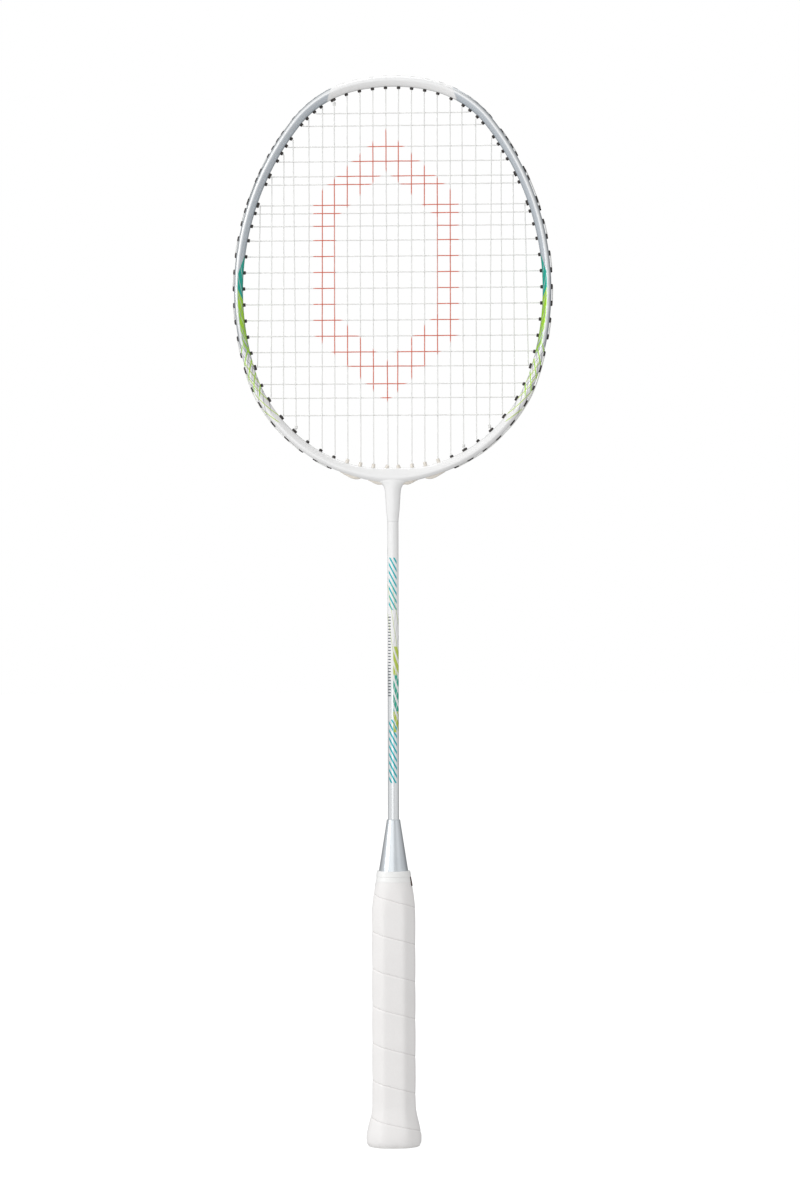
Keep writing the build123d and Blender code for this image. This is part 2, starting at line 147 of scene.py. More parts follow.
@dataclass
class Patch:
    """A grid of points that may close on itself along its rows or its columns.

    Attributes:
        points: rows by columns by 3.
        loop_rows: the last row joins the first.
        loop_columns: the last column joins the first.
        uv: texture places, with one more row or column where the grid loops.
        cap: the first and last rows are each drawn in to their middle, which closes a tube.
    """

    points: np.ndarray
    loop_rows: bool = False
    loop_columns: bool = True
    uv: np.ndarray | None = None
    cap: bool = False

    def __post_init__(self) -> None:
        """Add the two capping rows."""
        if self.cap:
            ends = [np.repeat(row.mean(0)[None], row.shape[0], 0) for row in self.points[[0, -1]]]
            self.points = np.concatenate([ends[0][None], self.points, ends[1][None]])
            if self.uv is not None:
                self.uv = np.concatenate([self.uv[:1], self.uv, self.uv[-1:]])

    def corners(self) -> tuple[np.ndarray, np.ndarray]:
        """Find the corners of every quad.

        Returns:
            The row and the column of each quad's four corners, not yet wrapped round.
        """
        rows, columns = self.points.shape[:2]
        i, j = np.meshgrid(np.arange(rows - (not self.loop_rows)),
                           np.arange(columns - (not self.loop_columns)), indexing="ij")
        i, j = i.ravel(), j.ravel()
        return np.stack([i, i + 1, i + 1, i], 1), np.stack([j, j, j + 1, j + 1], 1)

    def quads(self) -> tuple[np.ndarray, np.ndarray | None]:
        """Make the quads, turned so that the shell faces out.

        The volume inside is summed from the corners; if it comes out negative, every
        quad is turned over.

        Returns:
            Each quad's vertices, and their texture places if the patch has any.
        """
        row, column = self.corners()
        rows, columns = self.points.shape[:2]
        faces = (row % rows) * columns + column % columns
        flat = self.points.reshape(-1, 3)
        a, b, c, d = (flat[faces[:, k]] for k in range(4))
        volume = np.einsum("ij,ij->", a, np.cross(b, c)) + np.einsum("ij,ij->", a, np.cross(c, d))
        uv = self.uv[row, column] if self.uv is not None else None
        if volume < 0:
            faces = faces[:, ::-1]
            uv = uv[:, ::-1] if uv is not None else None
        return faces, uv


def make_piece(name: str, patches: list[Patch], finish: Material,
               replaced: tuple[str, ...], sharp: float = 180) -> None:
    """One object of one or more closed patches, dressed and set on the racket's body.

    Args:
        name: the object's name.
        patches: its shells.
        finish: its material.
        replaced: the frame's nodes that it stands for.
        sharp: an edge that turns by more degrees than this is shaded as sharp.
    """
    faces, places, start = [], [], 0
    for patch in patches:
        quads, uv = patch.quads()
        faces.append(quads + start)
        places.append(np.zeros(quads.shape + (2,)) if uv is None else uv)
        start += patch.points.shape[0] * patch.points.shape[1]
    points = np.vstack([patch.points.reshape(-1, 3) for patch in patches])
    mesh = bpy.data.meshes.new(name)
    mesh.from_pydata(points.tolist(), [], np.vstack(faces).tolist())
    layer = mesh.uv_layers.new(name="along")
    layer.data.foreach_set("uv", np.vstack(places).astype(np.float32).ravel())
    shell = bmesh.new()
    shell.from_mesh(mesh)
    bmesh.ops.remove_doubles(shell, verts=shell.verts, dist=WELD)
    shell.to_mesh(mesh)
    shell.free()
    mesh.polygons.foreach_set("use_smooth", np.ones(len(mesh.polygons), bool))
    if sharp < 180:
        mesh.set_sharp_from_angle(angle=math.radians(sharp))
    mesh.materials.append(finish)
    piece = bpy.data.objects.new(name, mesh)
    bpy.context.scene.collection.objects.link(piece)
    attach(piece, BODY)
    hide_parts(*replaced)
    log.info("%s: %d faces, stands for %s", name, len(mesh.polygons), ", ".join(replaced))


def tube(path: np.ndarray, radius: float, sides: int, reference: np.ndarray) -> Patch:
    """A round tube along a path.

    Each ring lies across the path: its first axis is the path's direction crossed with
    the reference, its second is square to both.

    Args:
        path: n by 3 points.
        radius: the tube's radius.
        sides: points round each ring.
        reference: a direction that the path never takes.

    Returns:
        The capped tube; its texture runs in metres along and in turns round.
    """
    along = np.gradient(path, axis=0)
    along /= np.linalg.norm(along, axis=1, keepdims=True)
    first = np.cross(along, reference)
    first /= np.linalg.norm(first, axis=1, keepdims=True)
    second = np.cross(first, along)
    turn = circle(sides)
    ring = np.cos(turn)[None, :, None] * first[:, None] + np.sin(turn)[None, :, None] * second[:, None]
    length = np.concatenate([[0], np.cumsum(np.linalg.norm(np.diff(path, axis=0), axis=1))])
    uv = np.stack(np.meshgrid(length, np.arange(sides + 1) / sides, indexing="ij"), -1)
    return Patch(path[:, None] + radius * ring, uv=uv, cap=True)


def lathe(profile: np.ndarray, sides: int) -> Patch:
    """A profile turned about the Z axis.

    Args:
        profile: n by 2, radius and height.
        sides: points round it.

    Returns:
        The closed shell; its texture runs in metres up and in turns round.
    """
    points = polar(profile[:, :1], circle(sides), profile[:, 1:])
    uv = np.stack(np.meshgrid(profile[:, 1], np.arange(sides + 1) / sides, indexing="ij"), -1)
    return Patch(points, uv=uv, cap=True)


# ------ node helpers


def linear(code: str) -> tuple[float, float, float, float]:
    """The opaque linear colour of an sRGB hex code such as "#E8E6E1"."""
    parts = [int(code[k:k + 2], 16) / 255 for k in (1, 3, 5)]
    return (*[p / 12.92 if p <= 0.04045 else ((p + 0.055) / 1.055) ** 2.4 for p in parts], 1.0)


def add_node(tree: NodeTree, kind: str, inputs: dict | None = None, output: int = 0,
             stops: tuple = (), **settings: object) -> NodeSocket | None:
    """Add one node with its settings and links.

    Args:
        tree: the material's node tree.
        kind: the shader node's type.
        inputs: socket number or name to a value, or to the socket that feeds it.
        output: which of its outputs to return.
        stops: pairs of place and hex colour, for a colour ramp.
        settings: the node's own properties.

    Returns:
        The chosen output socket, or None from a node that has none.
    """
    node = tree.nodes.new(f"ShaderNode{kind}")
    for key, value in settings.items():
        setattr(node, key, value)
    for key, value in (inputs or {}).items():
        if isinstance(value, NodeSocket):
            tree.links.new(value, node.inputs[key])
        else:
            node.inputs[key].default_value = value
    for k, (place, code) in enumerate(stops):
        ramp = node.color_ramp.elements
        stop = ramp[k] if k < len(ramp) else ramp.new(place)
        stop.position = place
        stop.color = linear(code)
    return node.outputs[output] if node.outputs else None


def start_material(name: str) -> tuple[Material, NodeTree]:
    """Start a finish.

    Args:
        name: the material's name.

    Returns:
        The new material and its empty node tree.
    """
    material = bpy.data.materials.new(name)
    material.use_nodes = True
    material.node_tree.nodes.clear()
    return material, material.node_tree


def end_material(tree: NodeTree, shader: NodeSocket) -> None:
    """Send a shader to the material's surface."""
    add_node(tree, "OutputMaterial", {"Surface": shader})


def band(tree: NodeTree, value: NodeSocket, low: float, high: float, soft: float) -> NodeSocket:
    """A mask that is 1 between two values and fades to 0 outside them.

    Args:
        tree: the material's node tree.
        value: the place that is compared.
        low: where the mask starts.
        high: where it ends.
        soft: half the width of each fade.

    Returns:
        The mask's socket.
    """
    rise = add_node(tree, "MapRange", {0: value, 1: low - soft, 2: low + soft})
    fall = add_node(tree, "MapRange", {0: value, 1: high - soft, 2: high + soft, 3: 1.0, 4: 0.0})
    return add_node(tree, "Math", {0: rise, 1: fall}, operation="MULTIPLY")


@dataclass(frozen=True)
class Lines:
    """How a set of slanted parallel lines is ruled.

    Attributes:
        slant: how far a line moves along the piece for each unit across it.
        period: distance from line to line.
        share: how much of a period the line takes.
        fade: how much of a period half a line's soft edge takes.
    """

    slant: float
    period: float
    share: float
    fade: float = 0.03


def hatching(tree: NodeTree, along: NodeSocket, across: NodeSocket, lines: Lines) -> NodeSocket:
    """A mask of slanted parallel lines.

    The place along plus the slant times the place across is divided into periods, and
    the middle share of each period is the line.

    Args:
        tree: the material's node tree.
        along: place along the piece.
        across: place across it.
        lines: how the lines are ruled.

    Returns:
        The mask's socket.
    """
    lean = add_node(tree, "Math", {0: across, 1: lines.slant, 2: along}, operation="MULTIPLY_ADD")
    turns = add_node(tree, "Math", {0: lean, 1: lines.period}, operation="DIVIDE")
    part = add_node(tree, "Math", {0: turns}, operation="FRACT")
    off = add_node(tree, "Math", {0: part, 1: 0.5}, operation="SUBTRACT")
    far = add_node(tree, "Math", {0: off}, operation="ABSOLUTE")
    edge = lines.share / 2
    return add_node(tree, "MapRange", {0: far, 1: edge - lines.fade, 2: edge + lines.fade,
                                       3: 1.0, 4: 0.0})


def lay(tree: NodeTree, under: NodeSocket | str, code: str, *masks: NodeSocket) -> NodeSocket:
    """Lay a colour over another where every mask is 1.

    Args:
        tree: the material's node tree.
        under: the colour beneath, as a socket or a hex code.
        code: the colour on top, as a hex code.
        masks: the masks, multiplied together.

    Returns:
        The colour's socket.
    """
    factor = masks[0]
    for mask in masks[1:]:
        factor = add_node(tree, "Math", {0: factor, 1: mask}, operation="MULTIPLY")
    base = linear(under) if isinstance(under, str) else under
    return add_node(tree, "Mix", {0: factor, 6: base, 7: linear(code)}, output=2, data_type="RGBA")


def object_mm(tree: NodeTree) -> list[NodeSocket]:
    """Where the surface is.

    Args:
        tree: the material's node tree.

    Returns:
        The sockets of X, Y and Z in millimetres.
    """
    place = add_node(tree, "TexCoord", output=3)
    scaled = add_node(tree, "VectorMath", {0: place, 3: 1 / MM}, operation="SCALE")
    parts = add_node(tree, "SeparateXYZ", {0: scaled}).node
    return list(parts.outputs)


def noise_bump(tree: NodeTree, size: float, height: float, detail: float) -> NodeSocket:
    """A normal roughened by noise.

    Args:
        tree: the material's node tree.
        size: the size of its lumps.
        height: how far they stand up.
        detail: how many times finer lumps are added.

    Returns:
        The normal's socket.
    """
    place = add_node(tree, "TexCoord", output=3)
    noise = add_node(tree, "TexNoise", {"Vector": place, "Scale": 1 / size, "Detail": detail})
    return add_node(tree, "Bump", {"Height": noise, "Distance": height, "Strength": 1.0})


# ------ finishes


@dataclass(frozen=True)
class Stripes:
    """Slanted lines printed over one stretch of the head.

    Attributes:
        colour: the ink.
        lines: how they are ruled.
        start: where they start along the head.
        end: where they end.
        fade: half the length of the soft ends.
        inside: whether they stay on the inner half.
    """

    colour: str
    lines: Lines
    start: float
    end: float
    fade: float = 1.0
    inside: bool = False


@dataclass(frozen=True)
class HeadLacquer:
    """Sprayed and printed lacquer on a carbon head, under a clear coat.

    It reads as glossy enamel: white at the crown and the heel, a pearly silver-blue down
    the sides, and teal and lime wedges broken by fine crossing lines. Across the silver,
    painted shade darkens both edges, the outer one most, and a painted highlight lightens
    the crest. Its texture places are millimetres from the crown along the head, and -1
    inside to 1 outside across it.

    Attributes:
        white: colour of the crown and the heel.
        silver_painted_shading: the silver's colours from the inner edge of the head to the outer one.
        teal: colour of the first wedge.
        lime: colour of the second.
        silver_from: where the silver starts, on its slanted border.
        silver_to: where it ends.
        border_slant: slant of those borders.
        wedge_from: where the teal wedge starts at the inner edge.
        wedge_to: a place past the end of both wedges.
        wedge_slant: slant of the wedge's start.
        patch_slant: slant of the borders between the wedges.
        teal_to: where the teal ends, measured on those borders.
        lime_to: where the whole lime ends.
        broken_to: where the broken lime ends.
        broken: how the broken lime is ruled.
        stripes: the printed lines.
        half: how far across the wedges reach.
        flake: metal in the silver.
        ripple: size of the coat's gentle waves.
        ripple_height: their height.
    """

    white: str = "#F4F4F4"
    silver_painted_shading: tuple = ((0.0, "#BDC6CE"), (0.42, "#CAD1D8"), (0.58, "#EAECEE"), (0.72, "#EDEFF0"),
                   (0.86, "#BBC1C6"), (1.0, "#9AA1A7"))
    teal: str = "#00AF9B"
    lime: str = "#A8DE34"
    silver_from: float = 40.7
    silver_to: float = 222.0
    border_slant: float = 3.5
    wedge_from: float = 160.0
    wedge_to: float = 528.0
    wedge_slant: float = -12.0
    patch_slant: float = 7.0
    teal_to: float = 182.0
    lime_to: float = 205.0
    broken_to: float = 218.0
    broken: Lines = Lines(11.0, 10.0, 0.7)
    stripes: tuple = (Stripes("#C9CFD4", Lines(12.0, 10.5, 0.10), 166.0, 224.0, fade=0.5),
                      Stripes("#949A9F", Lines(-10.0, 13.0, 0.07), 186.0, 224.0, fade=0.5, inside=True),
                      Stripes("#949A9F", Lines(7.0, 7.0, 0.12), 216.0, 248.0),
                      Stripes("#949A9F", Lines(-8.0, 9.0, 0.11), 224.0, 264.0),
                      Stripes("#A8DE34", Lines(-6.0, 8.5, 0.19), 218.0, 252.0),
                      Stripes("#C2E04A", Lines(10.0, 12.0, 0.13), 228.0, 272.0))
    half: float = 0.02
    flake: float = 0.3
    ripple: float = 9.0 * MM
    ripple_height: float = 0.03 * MM

    def make(self) -> Material:
        """Build the lacquer.

        Returns:
            The material.
        """
        material, tree = start_material("head_lacquer")
        place = add_node(tree, "UVMap", uv_map="along")
        parts = add_node(tree, "SeparateXYZ", {0: place}).node
        along, across = parts.outputs[0], parts.outputs[1]
        border, wedge, patch = (
            add_node(tree, "Math", {0: across, 1: slant, 2: along}, operation="MULTIPLY_ADD")
            for slant in (self.border_slant, self.wedge_slant, self.patch_slant))
        silver = band(tree, border, self.silver_from, self.silver_to, 0.6)
        share = add_node(tree, "MapRange", {0: across, 1: -1.0, 2: 1.0})
        # painted shade and highlight: the silver is drawn darker towards both edges and lighter along the
        # crest
        shaded_silver = add_node(tree, "ValToRGB", {0: share}, stops=self.silver_painted_shading)
        colour = add_node(tree, "Mix", {0: silver, 6: linear(self.white), 7: shaded_silver}, output=2,
                          data_type="RGBA")
        inner = band(tree, across, -2.0, self.half, 0.03)
        opened = band(tree, wedge, self.wedge_from - self.wedge_slant, self.wedge_to, 0.5)
        colour = lay(tree, colour, self.teal, band(tree, patch, 0.0, self.teal_to, 0.4), inner, opened)
        colour = lay(tree, colour, self.lime, band(tree, patch, self.teal_to, self.lime_to, 0.5), inner)
        colour = lay(tree, colour, self.lime, band(tree, patch, self.lime_to, self.broken_to, 0.5), inner,
                     hatching(tree, along, across, self.broken))
        for ink in self.stripes:
            masks = [band(tree, along, ink.start, ink.end, ink.fade),
                     hatching(tree, along, across, ink.lines)]
            colour = lay(tree, colour, ink.colour, *masks, *([inner] if ink.inside else []))
        metal = add_node(tree, "Math", {0: silver, 1: self.flake}, operation="MULTIPLY")
        shader = add_node(tree, "BsdfPrincipled", {
            "Base Color": colour, "Metallic": metal, "Roughness": 0.2, "IOR": 1.5, "Coat Weight": 0.25,
            "Coat Roughness": 0.05, "Normal": noise_bump(tree, self.ripple, self.ripple_height, 1.0)})
        end_material(tree, shader)
        return material


@dataclass(frozen=True)
class ShaftLacquer:
    """The same lacquer on the shaft: white above, silver below, with printed dashes.

    It reads as gloss enamel over a slim tube. The two slanted dash blocks and the ticks
    are plain marks in the place of any wording. Places are millimetres: heights, or x
    across the front.

    Attributes:
        white: colour of the upper shaft.
        silver: colour of the lower shaft.
        silver_below: where white turns to silver, on the slanted border.
        slant: slant of that border.
        flake: metal in the silver.
        dashes: how the dashes are ruled.
        dash_colour: their ink.
        dash_blocks: bottom and top of each block of dashes.
        dash_half: half the width of a block.
        streaks: the streaks round the upper shaft, each with its colour and whether it
            stays on the right.
        streaked: from where to where they run, on the slanted border.
        ticks: how the ticks are ruled.
        tick_colour: their ink.
        tick_height: bottom and top of the row of ticks.
        tick_width: its left and right.
        patches: how the colour patches are ruled.
        patch_blocks: colour, bottom and top of each block of patches.
        breaks: how the white lines across the patches are ruled.
        breaks_height: bottom and top of those lines.
        right: x from where to where the right side's print fades in.
        left: x from where to where the left side's print fades out.
        fade: half the length of a block's soft ends.
    """

    white: str = "#F4F4F4"
    silver: str = "#EDF0F2"
    silver_below: float = 288.0
    slant: float = 5.0
    flake: float = 0.65
    dashes: Lines = Lines(1.9, 5.0, 0.42)
    dash_colour: str = "#00B4BD"
    dash_blocks: tuple = ((338.0, 371.0), (229.0, 269.0))
    dash_half: float = 2.5
    streaks: tuple = (("#BDD048", Lines(6.5, 19.0, 0.08), False),
                      ("#A9AEB2", Lines(-5.5, 11.0, 0.08), True))
    streaked: tuple = (309.0, 352.0)
    ticks: Lines = Lines(0.0, 1.9, 0.42)
    tick_colour: str = "#6F757A"
    tick_height: tuple = (283.0, 335.0)
    tick_width: tuple = (-3.0, -1.2)
    patches: Lines = Lines(3.0, 9.0, 0.62)
    patch_blocks: tuple = (("#BDD048", 297.0, 315.0), ("#16AD92", 274.0, 297.0),
                           ("#BDD048", 261.0, 274.0))
    breaks: Lines = Lines(-4.0, 8.0, 0.12)
    breaks_height: tuple = (261.0, 300.0)
    right: tuple = (0.1, 0.5)
    left: tuple = (-1.4, -1.0)
    fade: float = 0.3

    def make(self) -> Material:
        """Build the lacquer.

        Returns:
            The material.
        """
        material, tree = start_material("shaft_lacquer")
        x, _, z = object_mm(tree)
        right = add_node(tree, "MapRange", {0: x, 1: self.right[0], 2: self.right[1]})
        left = add_node(tree, "MapRange", {0: x, 1: self.left[0], 2: self.left[1], 3: 1.0, 4: 0.0})
        middle = band(tree, x, -self.dash_half, self.dash_half, 0.2)
        slanted = add_node(tree, "Math", {0: x, 1: self.slant, 2: z}, operation="MULTIPLY_ADD")
        silver = add_node(tree, "MapRange", {
            0: slanted, 1: self.silver_below - 1, 2: self.silver_below + 1, 3: 1.0, 4: 0.0})
        colour = lay(tree, self.white, self.silver, silver)
        dashes = hatching(tree, z, x, self.dashes)
        for low, high in self.dash_blocks:
            block = band(tree, z, low, high, self.fade)
            colour = lay(tree, colour, self.dash_colour, block, dashes, middle)
        streaked = band(tree, slanted, *self.streaked, 0.4)
        for code, lines, on_right in self.streaks:
            masks = [hatching(tree, z, x, lines), streaked]
            colour = lay(tree, colour, code, *masks, *([right] if on_right else []))
        colour = lay(tree, colour, self.tick_colour, hatching(tree, z, x, self.ticks), left,
                     band(tree, z, *self.tick_height, self.fade), band(tree, x, *self.tick_width, 0.15))
        patches = hatching(tree, z, x, self.patches)
        for code, low, high in self.patch_blocks:
            colour = lay(tree, colour, code, band(tree, z, low, high, self.fade), patches, right)
        colour = lay(tree, colour, self.white, hatching(tree, z, x, self.breaks), right,
                     band(tree, z, *self.breaks_height, self.fade))
        metal = add_node(tree, "Math", {0: silver, 1: self.flake}, operation="MULTIPLY")
        shader = add_node(tree, "BsdfPrincipled", {
            "Base Color": colour, "Metallic": metal, "Roughness": 0.2, "IOR": 1.5,
            "Coat Weight": 0.6, "Coat Roughness": 0.05})
        end_material(tree, shader)
        return material


@dataclass(frozen=True)
class NylonString:
    """Braided nylon multifilament, 0.68 mm, with one stencilled ring of ink.

    It reads as off-white waxed thread with a faint twist. The ring is a plain hexagon.

    Attributes:
        thread: the string's colour.
        ink: the ring's colour.
        centre_x: middle of the ring, in millimetres.
        centre_z: its height.
        half_width: half its width.
        half_height: half its height.
        ring: its inner edge, as a share of its outer one.
        wear: how many worn places the ink has in a metre.
        worn_to: how much ink the worn places keep.
        braid: rise of the twist in one turn.
        braid_depth: depth of the twist.
    """

    thread: str = "#EFEFED"
    ink: str = "#DE6E55"
    centre_x: float = -4.0
    centre_z: float = 555.0
    half_width: float = 46.0
    half_height: float = 86.0
    ring: float = 0.70
    wear: float = 700.0
    worn_to: float = 0.72
    braid: float = 0.9 * MM
    braid_depth: float = 0.02 * MM

    def make(self) -> Material:
        """Build the thread.

        Returns:
            The material.
        """
        material, tree = start_material("nylon_string")
        x, _, z = object_mm(tree)
        off_x = add_node(tree, "Math", {0: x, 1: self.centre_x}, operation="SUBTRACT")
        off_z = add_node(tree, "Math", {0: z, 1: self.centre_z}, operation="SUBTRACT")
        far_x = add_node(tree, "Math", {0: off_x}, operation="ABSOLUTE")
        far_z = add_node(tree, "Math", {0: off_z}, operation="ABSOLUTE")
        side = add_node(tree, "Math", {0: far_x, 1: self.half_width}, operation="DIVIDE")
        high = add_node(tree, "Math", {0: far_z, 1: self.half_height}, operation="DIVIDE")
        slope = add_node(tree, "Math", {0: side, 1: 0.5, 2: high}, operation="MULTIPLY_ADD")
        edge = add_node(tree, "Math", {0: side, 1: slope}, operation="MAXIMUM")
        ring = band(tree, edge, self.ring, 1.0, 0.012)
        place = add_node(tree, "TexCoord", output=3)
        worn = add_node(tree, "TexNoise", {"Vector": place, "Scale": self.wear, "Detail": 2.0})
        kept = add_node(tree, "MapRange", {0: worn, 1: 0.3, 2: 0.45, 3: self.worn_to, 4: 1.0})
        colour = lay(tree, self.thread, self.ink, ring, kept)
        thread = add_node(tree, "UVMap", uv_map="along")
        parts = add_node(tree, "SeparateXYZ", {0: thread}).node
        twist = hatching(tree, parts.outputs[0], parts.outputs[1], Lines(self.braid, self.braid, 0.5))
        normal = add_node(tree, "Bump", {"Height": twist, "Distance": self.braid_depth, "Strength": 0.4})
        shader = add_node(tree, "BsdfPrincipled", {
            "Base Color": colour, "Roughness": 0.42, "IOR": 1.53, "Normal": normal})
        end_material(tree, shader)
        return material


@dataclass(frozen=True)
class PolyurethaneGrip:
    """White polyurethane grip tape, embossed grain on felt, wound on edge to edge.

    It reads as soft matt leather with a pebbled grain, a darker line of painted shade in
    each seam's valley and a faint painted highlight on the rolled edge beside it.
    The real grain is about 0.5 mm, too fine to show, so it is drawn three times coarser.

    Attributes:
        white: the tape's colour.
        seam: the darker colour of the painted shade in a seam, and the colour where it is
        a little soiled.
        lip: a lighter colour along the rolled edge above a seam, a painted highlight.
        grain: size of the grain.
        relief: height of the grain.
        seam_share: half the seam's width, as a share of a turn.
        soil: how many soiled places there are in a metre.
        soil_share: how strongly the worst of them shows.
    """

    white: str = "#F4F2F1"
    seam: str = "#D2CFCD"
    lip: str = "#F6F4F3"
    grain: float = 1.5 * MM
    relief: float = 0.09 * MM
    seam_share: float = 0.012
    soil: float = 60.0
    soil_share: float = 0.10

    def make(self) -> Material:
        """Build the tape; its texture's second place counts turns of the tape.

        Returns:
            The material.
        """
        material, tree = start_material("polyurethane_grip")
        place = add_node(tree, "UVMap", uv_map="along")
        parts = add_node(tree, "SeparateXYZ", {0: place}).node
        turn = add_node(tree, "Math", {0: parts.outputs[1]}, operation="FRACT")
        # painted highlight: the rolled edge beside each seam is drawn a little lighter
        lip = band(tree, turn, 1 - 4 * self.seam_share, 1 - self.seam_share, self.seam_share)
        # painted shade: the valley at each seam is drawn darker
        low = add_node(tree, "MapRange", {0: turn, 1: 0.0, 2: self.seam_share, 3: 1.0, 4: 0.0})
        high = add_node(tree, "MapRange", {0: turn, 1: 1 - self.seam_share / 2, 2: 1.0})
        seam = add_node(tree, "Math", {0: low, 1: high}, operation="MAXIMUM")
        spot = add_node(tree, "TexCoord", output=3)
        soil = add_node(tree, "TexNoise", {"Vector": spot, "Scale": self.soil, "Detail": 3.0})
        shade = add_node(tree, "MapRange", {0: soil, 1: 0.35, 2: 0.75, 3: 0.0, 4: self.soil_share})
        colour = lay(tree, self.white, self.seam, shade)
        colour = lay(tree, colour, self.lip, lip)
        colour = lay(tree, colour, self.seam, seam)
        shader = add_node(tree, "BsdfPrincipled", {
            "Base Color": colour, "Roughness": 0.58, "IOR": 1.49,
            "Normal": noise_bump(tree, self.grain, self.relief, 2.0), "Sheen Weight": 0.15})
        end_material(tree, shader)
        return material


@dataclass(frozen=True)
class Plastic:
    """One plain moulded or drawn plastic, told apart by its numbers.

    Attributes:
        name: the material's name.
        colour: its colour.
        shade: a second colour that drifts through it.
        roughness: how matt it is.
        grain: the size of its surface texture.
        relief: the height of that texture.
        metallic: share of metal flake.
        clear: share of light let through.
        coat: share of clear coat.
        drift: how many lumps of the second colour lie in one grain.
    """

    name: str
    colour: str
    shade: str
    roughness: float
    grain: float
    relief: float
    metallic: float = 0.0
    clear: float = 0.0
    coat: float = 0.0
    drift: float = 0.12

    def make(self) -> Material:
        """Build the plastic.

        Returns:
            The material.
        """
        material, tree = start_material(self.name)
        place = add_node(tree, "TexCoord", output=3)
        drift = add_node(tree, "TexNoise", {"Vector": place, "Scale": self.drift / self.grain,
                                            "Detail": 2.0})
        spread = add_node(tree, "MapRange", {0: drift, 1: 0.35, 2: 0.65})
        shader = add_node(tree, "BsdfPrincipled", {
            "Base Color": lay(tree, self.colour, self.shade, spread), "Roughness": self.roughness,
            "IOR": 1.5, "Metallic": self.metallic, "Transmission Weight": self.clear,
            "Coat Weight": self.coat, "Normal": noise_bump(tree, self.grain, self.relief, 1.0)})
        end_material(tree, shader)
        return material


@dataclass(frozen=True)
class AshWood:
    """Pale turned wood in the handle, with grain lines along it. It reads as bare timber.

    Attributes:
        light: colour of the wood.
        dark: colour of its grain lines.
        ring: distance between them.
        stretch: how much they are drawn out along the handle; less is longer.
        relief: height of the grain.
    """

    light: str = "#D9BE93"
    dark: str = "#B8935F"
    ring: float = 1.6 * MM
    stretch: float = 0.05
    relief: float = 0.05 * MM

    def make(self) -> Material:
        """Build the wood.

        Returns:
            The material.
        """
        material, tree = start_material("ash_wood")
        place = add_node(tree, "TexCoord", output=3)
        drawn = add_node(tree, "Mapping", {0: place, 3: (1.0, 1.0, self.stretch)})
        noise = add_node(tree, "TexNoise", {"Vector": drawn, "Scale": 1 / self.ring, "Detail": 4.0})
        colour = add_node(tree, "ValToRGB", {0: noise}, stops=((0.35, self.dark), (0.6, self.light)))
        normal = add_node(tree, "Bump", {"Height": noise, "Distance": self.relief, "Strength": 1.0})
        shader = add_node(tree, "BsdfPrincipled", {
            "Base Color": colour, "Roughness": 0.6, "IOR": 1.5, "Normal": normal})
        end_material(tree, shader)
        return material


SILVER_PLASTIC = Plastic("silver_abs", "#DCE1E5", "#D4DADF", 0.3, 2.5 * MM, 0.01 * MM,
                         metallic=0.75, coat=0.3)
VINYL = Plastic("vinyl_tape", "#FAFAF9", "#F4F4F3", 0.35, 1.2 * MM, 0.02 * MM)
# dark brown, for the dark line under the end of the finishing tape
DARK_TAPE_END = Plastic("dark_tape_end", "#5E4B40", "#4B3B33", 0.6, 0.8 * MM, 0.04 * MM)
BLACK_NYLON = Plastic("black_nylon", "#231E1C", "#2E2724", 0.38, 0.7 * MM, 0.015 * MM)
CLEAR_NYLON = Plastic("clear_nylon", "#F7F1E8", "#EFE8DD", 0.24, 1.5 * MM, 0.01 * MM,
                      clear=0.15, coat=0.3)
CAP_PLASTIC = Plastic("cap_abs", "#EDECEA", "#E4E2DF", 0.45, 0.8 * MM, 0.02 * MM)


# ------ head and its holes


